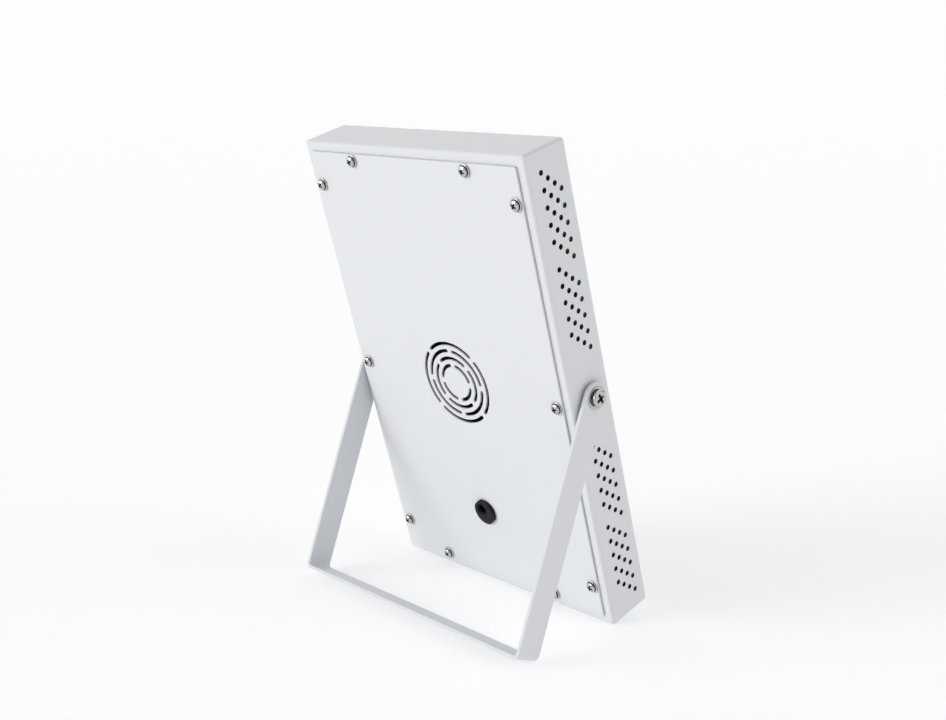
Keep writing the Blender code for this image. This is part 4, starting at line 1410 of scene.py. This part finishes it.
@dataclass
class Inlet:
    """The moulded power inlet and its pin."""

    seat: float = -1.8 * MM
    height: float = 57 * MM
    bezel: float = 8.9 * MM
    flats: float = 16.4 * MM
    turn: float = math.radians(-48)
    shift: float = 2.5 * MM
    stand_out: float = 1.9 * MM
    barrel: float = 6.5 * MM
    length: float = 12 * MM
    rim: float = 0.35 * MM
    shoulder: float = 1 * MM
    shoulder_turn: float = math.radians(64)
    slope: tuple[float, float] = (1.6 * MM, 0.06 * MM)
    face_inset: float = 2.4 * MM
    floor: float = 2 * MM
    funnel: tuple[tuple[float, float], ...] = (
        (3.1 * MM, 2 * MM),
        (3.35 * MM, 1.4 * MM),
        (3.9 * MM, 0.25 * MM),
    )
    flare: float = 0.4 * MM
    edge: float = 0.18 * MM
    pin: float = 1 * MM
    pin_gap: float = 0.35 * MM
    pin_top: float = -3 * MM
    pin_tail: float = 4 * MM

    def off_centre(self) -> Matrix:
        """Returns where the mouth is: nearer to one flat than to the other."""
        return Matrix.Rotation(self.turn, 4, "Z") @ Matrix.Translation((-self.shift, 0, 0))

    def body(self) -> bpy.types.Mesh:
        """Makes the body: a barrel, a bezel with two flats, and a funnelled mouth.

        Returns:
            The mesh.
        """
        form = Form()
        front, rim, side = self.stand_out, self.rim, self.stand_out * 0.4
        slope, drop = self.slope
        pen = Pen(form, (0, -self.length)).line((self.barrel, -self.length), (self.barrel, 0))
        pen.line((self.bezel - rim, 0)).arc((self.bezel - rim, rim), math.pi / 2, 4)
        pen.line((self.bezel, side)).arc((self.bezel - self.shoulder, side), self.shoulder_turn, 6)
        pen.line((self.bezel - slope, front - drop), (self.bezel - self.face_inset, front), (0, front))
        form.lathe(pen, 96)
        seat = Form()
        seat.rod(self.pin + self.pin_gap, -self.length - EPS, 0, None, COARSE)
        place = self.off_centre()
        tools = [self.well(place), seat.mesh("pin_seat", place), *self.flat_cutters()]
        made = carve(form.mesh("inlet"), *((Cut.AWAY, tool) for tool in tools))
        return weigh_normals(soften_all(made, self.edge, 2), math.radians(28))

    def well(self, place: Matrix) -> bpy.types.Mesh:
        """Makes the cutter of the funnelled mouth.

        Args:
            place: where the mouth is.

        Returns:
            The cutter.
        """
        form = Form()
        floor, front, narrow = self.floor - self.length, self.stand_out, self.funnel[0][0]
        pen = Pen(form, (0, floor)).line((narrow, floor))
        pen.line(*((radius, front - depth) for radius, depth in self.funnel))
        pen.line((self.funnel[-1][0] + self.flare, front + EPS), (0, front + EPS))
        form.lathe(pen)
        return form.mesh("well", place)

    def flat_cutters(self) -> list[bpy.types.Mesh]:
        """Makes the cutters of the bezel's two flats.

        Returns:
            One cutter for each flat.
        """
        cutters = []
        wide = self.bezel * 2
        for sign in (-1, 1):
            form = Form()
            near, far = sorted((sign * self.flats / 2, sign * wide))
            form.box((near, -wide, -EPS / 2), (far, wide, self.stand_out * 2))
            cutters.append(form.mesh("flat", Matrix.Rotation(self.turn, 4, "Z")))
        return cutters

    def pin_mesh(self) -> bpy.types.Mesh:
        """Makes the centre pin, its tip rounded.

        Returns:
            The mesh.
        """
        form = Form()
        top, low = self.pin_top, -self.length - self.pin_tail
        tip = self.pin * 0.6
        pen = Pen(form, (0, low)).line((self.pin, low), (self.pin, top - tip))
        pen.arc((self.pin - tip, top - tip), math.pi / 2, 5).line((0, top))
        form.lathe(pen, ROUND)
        return weigh_normals(form.mesh("pin"))

    def build(self, stand: Standing) -> None:
        """Adds the inlet.

        Args:
            stand: where the panel stands.
        """
        place = stand.panel() @ Matrix.Translation((0, self.seat, self.height)) @ TO_REAR
        fit_piece("inlet_moulding", self.body(), place, INLET_BLACK, stands_for="inlet_body")
        place = place @ self.off_centre()
        fit_piece("inlet_centre_pin", self.pin_mesh(), place, BRASS, stands_for="inlet_pin")


# ---------------------------------------------------------------- fan


@dataclass
class Fan:
    """The fan behind the grille. Its own Z runs from its rear to its front."""

    rear: float = 1 * MM
    height: float = 150 * MM
    size: float = 60 * MM
    thickness: float = 15 * MM
    bore: float = 28.4 * MM
    corner: float = 3 * MM
    screw_spread: float = 25 * MM
    screw_hole: float = 2.1 * MM
    head_pocket: tuple[float, float] = (3.05 * MM, 2.6 * MM)
    plate: float = 13.5 * MM
    plate_thickness: float = 1.6 * MM
    strut: float = 3 * MM
    hub: float = 12.5 * MM
    hub_wall: float = 1.3 * MM
    strut_turns: tuple[float, ...] = (math.radians(22), math.radians(112))
    hub_lift: float = 1.2 * MM
    crown_inset: float = 0.8 * MM
    hub_lip: float = 1 * MM
    blade_tip: float = 26.9 * MM
    blade_count: int = 7
    blade_ends: tuple[float, float] = (1.2 * MM, 1.4 * MM)
    blade_twist: float = math.radians(36)
    twist_power: float = 1.15
    blade_sweep: float = math.radians(2.6)
    blade_steps: int = 6
    blade_thickness: float = 0.9 * MM

    def frame_mesh(self) -> bpy.types.Mesh:
        """Makes the frame with its bore, its motor plate and its struts.

        Returns:
            The mesh.
        """
        half = self.size / 2
        form = Form()
        form.box((-half, -half, 0), (half, half, self.thickness))
        form.soften(form.edges_along(2), self.corner, 6)
        square = form.mesh("frame")
        bore, holes, disc = Form(), Form(), Form()
        bore.rod(self.bore, -EPS, self.thickness + EPS, None, 96)
        pocket, depth = self.head_pocket
        pockets = Form()
        for x in (-1, 1):
            for y in (-1, 1):
                place = Matrix.Translation((x * self.screw_spread, y * self.screw_spread, 0))
                holes.rod(self.screw_hole, -EPS, self.thickness + EPS, place, COARSE)
                pockets.rod(pocket, -EPS, depth, place, ROUND)
        disc.rod(self.plate, 0, self.plate_thickness, None, FINE)
        bars = []
        for turn in self.strut_turns:
            bar = Form()
            reach = self.bore + EPS
            bar.box((-reach, -self.strut / 2, 0), (reach, self.strut / 2, self.plate_thickness))
            bars.append((Cut.JOIN, bar.mesh("bar", Matrix.Rotation(turn, 4, "Z"))))
        cuts = [(Cut.AWAY, tool.mesh("hole")) for tool in (bore, holes, pockets)]
        made = carve(square, *cuts, (Cut.JOIN, disc.mesh("disc")), *bars)
        return weigh_normals(made)

    def blade(self, low: float, high: float) -> bpy.types.Mesh:
        """Makes one swept, twisted blade, rooted in the hub's wall.

        Args:
            low: where its lower edge is.
            high: where its upper edge is.

        Returns:
            The blade.
        """
        form = Form()
        root, steps = self.hub - self.hub_wall / 2, self.blade_steps
        pen = Pen(form, (root, low))
        pen.line(*((root, low + (high - low) * step / steps) for step in range(1, steps + 1)))
        for vert in form.bm.verts:
            share = (vert.co.z - low) / (high - low)
            turn = Matrix.Rotation(self.blade_twist * share**self.twist_power, 3, "Z")
            bmesh.ops.rotate(form.bm, verts=[vert], cent=(0, 0, 0), matrix=turn)
        edges = list(form.bm.edges)
        radius = root
        turn = Matrix.Rotation(self.blade_sweep, 3, "Z")
        for step in range(1, steps + 1):
            made = bmesh.ops.extrude_edge_only(form.bm, edges=edges)["geom"]
            edges = [item for item in made if isinstance(item, bmesh.types.BMEdge)]
            verts = [item for item in made if isinstance(item, bmesh.types.BMVert)]
            new = root + (self.blade_tip - root) * step / steps
            bmesh.ops.scale(form.bm, vec=(new / radius, new / radius, 1), verts=verts)
            bmesh.ops.rotate(form.bm, verts=verts, cent=(0, 0, 0), matrix=turn)
            radius = new
        bmesh.ops.recalc_face_normals(form.bm, faces=form.bm.faces)
        bmesh.ops.solidify(form.bm, geom=list(form.bm.faces), thickness=self.blade_thickness)
        return form.mesh("blade")

    def rotor_mesh(self) -> bpy.types.Mesh:
        """Makes the hub cup with its blades.

        Returns:
            The mesh.
        """
        rim = self.plate_thickness + self.hub_lift
        crown = self.thickness - self.crown_inset
        inner, lip = self.hub - self.hub_wall, self.hub_lip
        form = Form()
        pen = Pen(form, (inner, rim)).line((self.hub, rim), (self.hub, crown - lip))
        pen.arc((self.hub - lip, crown - lip), math.pi / 2, 5).line((0, crown))
        pen.line((0, crown - self.hub_wall), (inner, crown - self.hub_wall))
        form.lathe(pen.close(), FINE)
        rise, drop = self.blade_ends
        blade = self.blade(rim + rise, crown - drop)
        joins = []
        for number in range(self.blade_count):
            copy = blade.copy()
            copy.transform(Matrix.Rotation(number * TAU / self.blade_count, 4, "Z"))
            joins.append((Cut.JOIN, copy))
        return weigh_normals(carve(form.mesh("hub"), *joins))

    def build(self, stand: Standing) -> None:
        """Adds the fan's frame and rotor.

        Args:
            stand: where the panel stands.
        """
        place = stand.panel() @ Matrix.Translation((0, self.rear, self.height)) @ TO_FRONT
        for name, mesh, body, node in (
            ("fan_casing", self.frame_mesh(), Body.PANEL, "fan_frame"),
            ("fan_impeller", self.rotor_mesh(), Body.ROTOR, "fan_rotor"),
        ):
            fit_piece(name, mesh, place, FAN_BLACK, body, node)


# ---------------------------------------------------------------- lenses and lamps


@dataclass
class LampFace:
    """The lens plate and the lamps behind it."""

    case: Case
    clearance: float = 1 * MM
    board_front: float = 26.2 * MM
    lamp_height: float = 0.8 * MM
    plate_rear: float = 26.5 * MM
    rim: float = 2.4 * MM
    plate_front: float = 31.9 * MM
    pitch: float = 33.6 * MM
    columns: int = 5
    rows: int = 8
    lens_radius: float = 11 * MM
    lens_height: float = 0.9 * MM
    cap_wall: float = 0.16
    cap_edge: float = 0.97
    dome_radius: float = 1.9 * MM
    dome_height: float = 1.4 * MM
    dome_lift: float = 0.02 * MM
    plate_corner: float = 1.5 * MM
    pocket_corner: float = 2 * MM
    stud_hole: float = 1.85 * MM

    def places(self) -> list[tuple[float, float]]:
        """Returns the lamps' X and Z.

        Returns:
            The places, row by row.
        """
        columns = [(i - (self.columns - 1) / 2) * self.pitch for i in range(self.columns)]
        rows = [self.case.middle + (i - (self.rows - 1) / 2) * self.pitch for i in range(self.rows)]
        return [(x, z) for z in rows for x in columns]

    def add_cap(
        self, form: Form, radius: float, height: float, root: float, place: Matrix, sides: int
    ) -> None:
        """Adds a dome: a rod whose top is a shallow cap.

        Args:
            form: the solid that it joins.
            radius: the dome's radius.
            height: how far its crown stands up.
            root: how far it reaches below Z = 0.
            place: where it goes.
            sides: its number of sides.
        """
        known = set(form.bm.verts)
        wall, edge = height * self.cap_wall, radius * self.cap_edge
        rise = height - wall
        crown = (edge**2 + rise**2) / (2 * rise)
        pen = Pen(form, (0, -root)).line((radius, -root), (radius, wall), (edge, wall))
        pen.arc((0, height - crown), math.asin(edge / crown), 6)
        form.lathe(pen, sides)
        fresh = [vert for vert in form.bm.verts if vert not in known]
        bmesh.ops.remove_doubles(form.bm, verts=fresh, dist=MERGE)
        fresh = [vert for vert in form.bm.verts if vert not in known]
        bmesh.ops.transform(form.bm, matrix=place, verts=fresh)

    def lens_plate(self) -> bpy.types.Mesh:
        """Makes the moulded plate: a rim that rests on the board, and a dome over each lamp.

        Returns:
            The mesh.
        """
        inset = self.case.wall + self.clearance
        side = self.case.half - inset
        form = Form()
        form.box((-side, self.plate_rear, inset), (side, self.plate_front, self.case.height - inset))
        form.soften(form.edges_along(1), self.plate_corner, 4)
        pocket = Form()
        border = self.case.border
        pocket.box(
            (border - self.case.half, self.plate_rear - EPS, border),
            (self.case.half - border, self.plate_rear + self.rim, self.case.height - border),
        )
        pocket.soften(pocket.edges_along(1), self.pocket_corner, 4)
        domes = Form()
        for x, z in self.places():
            place = Matrix.Translation((x, self.plate_front, z)) @ TO_FRONT
            self.add_cap(domes, self.lens_radius, self.lens_height, EPS, place, 48)
        studs = Form()
        for x, z in self.case.stud_places():
            place = Matrix.Translation((x, 0, z)) @ TO_FRONT
            studs.rod(self.stud_hole, self.plate_rear - EPS, self.plate_front + EPS, place, COARSE)
        made = carve(
            form.mesh("lens_plate"),
            (Cut.AWAY, pocket.mesh("pocket")),
            (Cut.JOIN, domes.mesh("domes")),
            (Cut.AWAY, studs.mesh("stud_holes")),
        )
        return weigh_normals(made, math.radians(20))

    def lamp_domes(self) -> bpy.types.Mesh:
        """Makes the small domes on the lamp packages.

        Returns:
            The domes, as one mesh.
        """
        form = Form()
        seat = self.board_front + self.lamp_height + self.dome_lift
        for x, z in self.places():
            place = Matrix.Translation((x, seat, z)) @ TO_FRONT
            self.add_cap(form, self.dome_radius, self.dome_height, 0.0, place, COARSE)
        return weigh_normals(form.mesh("lamp_domes"), math.radians(40))

    def build(self, stand: Standing) -> None:
        """Adds the lens plate and the lamp domes.

        Args:
            stand: where the panel stands.
        """
        place = stand.panel()
        fit_piece("lens_moulding", self.lens_plate(), place, LENS_CLEAR, stands_for="lens_plate")
        fit_piece("lamp_domes", self.lamp_domes(), place, LAMP_DOME)


@dataclass
class Works:
    """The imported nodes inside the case, which keep their shapes and get their finishes."""

    finishes: tuple[tuple[Finish, tuple[str, ...]], ...] = (
        (ALUMINIUM, ("heat_sink", "driver_capacitor")),
        (BOARD_WHITE, ("lamp_board",)),
        (BOARD_GREEN, ("driver_board",)),
        (CORE, ("fan_stator", "driver_inductor")),
        (BRASS, ("fan_bearing", "inlet_contact")),
        (NICKEL, ("fan_shaft",)),
        (INLET_BLACK, ("inlet_nut",)),
        (NYLON, ("driver_connector",)),
        (LEAD_BLACK, ("input_lead",)),
        (LEAD_RED, ("fan_lead",)),
    )
    zinc: tuple[str, ...] = (
        "fan_screw",
        "sink_screw",
        "stud_nut",
        "driver_spacer",
        "driver_screw",
        "pivot_nut",
    )

    def build(self) -> None:
        """Dresses the nodes."""
        for finish, nodes in self.finishes:
            dress_nodes(finish, *nodes)
        dress_nodes(ZINC, *sorted(name for name in frame["nodes"] if name.startswith(self.zinc)))


# ---------------------------------------------------------------- studio


@dataclass
class SoftSun:
    """A far, broad light."""

    name: str
    direction: Vector
    strength: float
    spread: float

    def build(self) -> None:
        """Adds the light."""
        light = bpy.data.lights.new(self.name, "SUN")
        light.energy = self.strength
        light.angle = math.radians(self.spread)
        lamp = link_new(self.name, light)
        lamp.rotation_euler = (-self.direction).to_track_quat("-Z", "Y").to_euler()


@dataclass
class Studio:
    """The floor, the lights and the camera."""

    camera_place: Vector = field(default_factory=lambda: Vector((0.570309, -0.552023, 0.326438)))
    camera_turn: tuple[float, float, float] = (77.7732, -0.6207, 46.1833)
    lens: float = 49.84
    sky: float = 0.7
    backdrop: float = 0.985
    dim: float = 0.25
    dim_way: Vector = field(default_factory=lambda: Vector((0.72, -0.69, 0.0)))
    gloss_low: float = 0.03
    gloss_high: float = 1.5
    band_way: tuple[float, float] = (0.6, -0.5)
    bands: tuple[tuple[float, float], ...] = (
        (0.0, 1.0),
        (0.22, 1.0),
        (0.3, 0.0),
        (0.5, 0.0),
        (0.55, 1.0),
        (0.62, 1.0),
        (0.67, 0.0),
        (0.9, 0.0),
        (1.0, 0.6),
    )
    floor_size: float = 40.0
    suns: tuple[SoftSun, ...] = (
        SoftSun("key", Vector((-0.45, -0.88, 0.13)), 1.75, 40),
        SoftSun("side", Vector((0.85, 0.45, 0.25)), 0.6, 60),
    )

    def floor(self) -> None:
        """Adds the floor."""
        form = Form()
        bmesh.ops.create_grid(form.bm, x_segments=1, y_segments=1, size=self.floor_size)
        mesh = form.mesh("studio_floor")
        mesh.materials.append(FLOOR_PAPER.material())
        floor = link_new("studio_floor", mesh)

    def ramp(self, bench: Bench, share: Sock, stops: Sequence[tuple[float, float]]) -> Sock:
        """Returns a grey ramp's value at a share.

        Args:
            bench: the world's bench.
            share: where to read it.
            stops: (place, grey) pairs.

        Returns:
            The grey.
        """
        greys = [(place, (grey, grey, grey)) for place, grey in stops]
        return bench.out(bench.add("ShaderNodeValToRGB", {"stops": greys}, {0: share}))

    def world(self) -> None:
        """Makes the sky: white to the camera, dimmer towards it for the paint, banded for the plating."""
        world = bpy.data.worlds.new("studio_sky")
        bpy.context.scene.world = world
        world.use_nodes = True
        bench = Bench(world.node_tree)
        path = bench.add("ShaderNodeLightPath")
        facing = bench.add("ShaderNodeTexCoord").outputs["Generated"]
        split = bench.add("ShaderNodeSeparateXYZ", None, {0: facing})
        near = bench.add("ShaderNodeVectorMath", {"operation": "DOT_PRODUCT"}, {0: facing, 1: self.dim_way})
        toward = bench.out(near, "Value") * 0.5 + 0.5
        soft = self.ramp(bench, toward, ((0.0, 1.0), (0.6, 1.0), (1.0, self.dim))) * self.sky
        along_x, along_z = self.band_way
        across = bench.out(split, 0) * along_x + bench.out(split, 2) * along_z + 0.5
        banded = self.ramp(bench, across, self.bands) * (self.gloss_high - self.gloss_low) + self.gloss_low
        gloss = bench.out(path, "Is Glossy Ray")
        seen = bench.out(path, "Is Camera Ray")
        lit = banded * gloss + (1 - gloss) * soft
        strength = lit * (1 - seen) + seen * self.backdrop
        white = (1.0, 1.0, 1.0, 1.0)
        shader = bench.add("ShaderNodeBackground", None, {"Color": white, "Strength": strength})
        bench.add("ShaderNodeOutputWorld", None, {"Surface": shader.outputs[0]})

    def camera(self) -> None:
        """Adds the camera."""
        data = bpy.data.cameras.new("studio_camera")
        data.lens = self.lens
        data.sensor_width = 36.0
        data.sensor_fit = "HORIZONTAL"
        data.clip_start = 0.01
        camera = link_new("studio_camera", data)
        camera.location = self.camera_place
        camera.rotation_euler = Euler([math.radians(turn) for turn in self.camera_turn])
        bpy.context.scene.camera = camera

    def build(self) -> None:
        """Adds the floor, the sky, the lights and the camera."""
        self.floor()
        self.world()
        for sun in self.suns:
            sun.build()
        self.camera()
        bpy.context.scene.view_settings.view_transform = "Standard"


def main() -> None:
    """Builds the sub-assemblies in order."""
    logging.basicConfig(level=logging.INFO, format="%(message)s")
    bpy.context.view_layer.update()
    stand = Standing()
    case = Case()
    case.build(stand)
    CoverScrews(case).build(stand)
    Pivots(case).build(stand)
    Bail().build(stand)
    Inlet().build(stand)
    Fan().build(stand)
    LampFace(case).build(stand)
    Works().build()
    Studio().build()


if __name__ == "__main__":
    main()
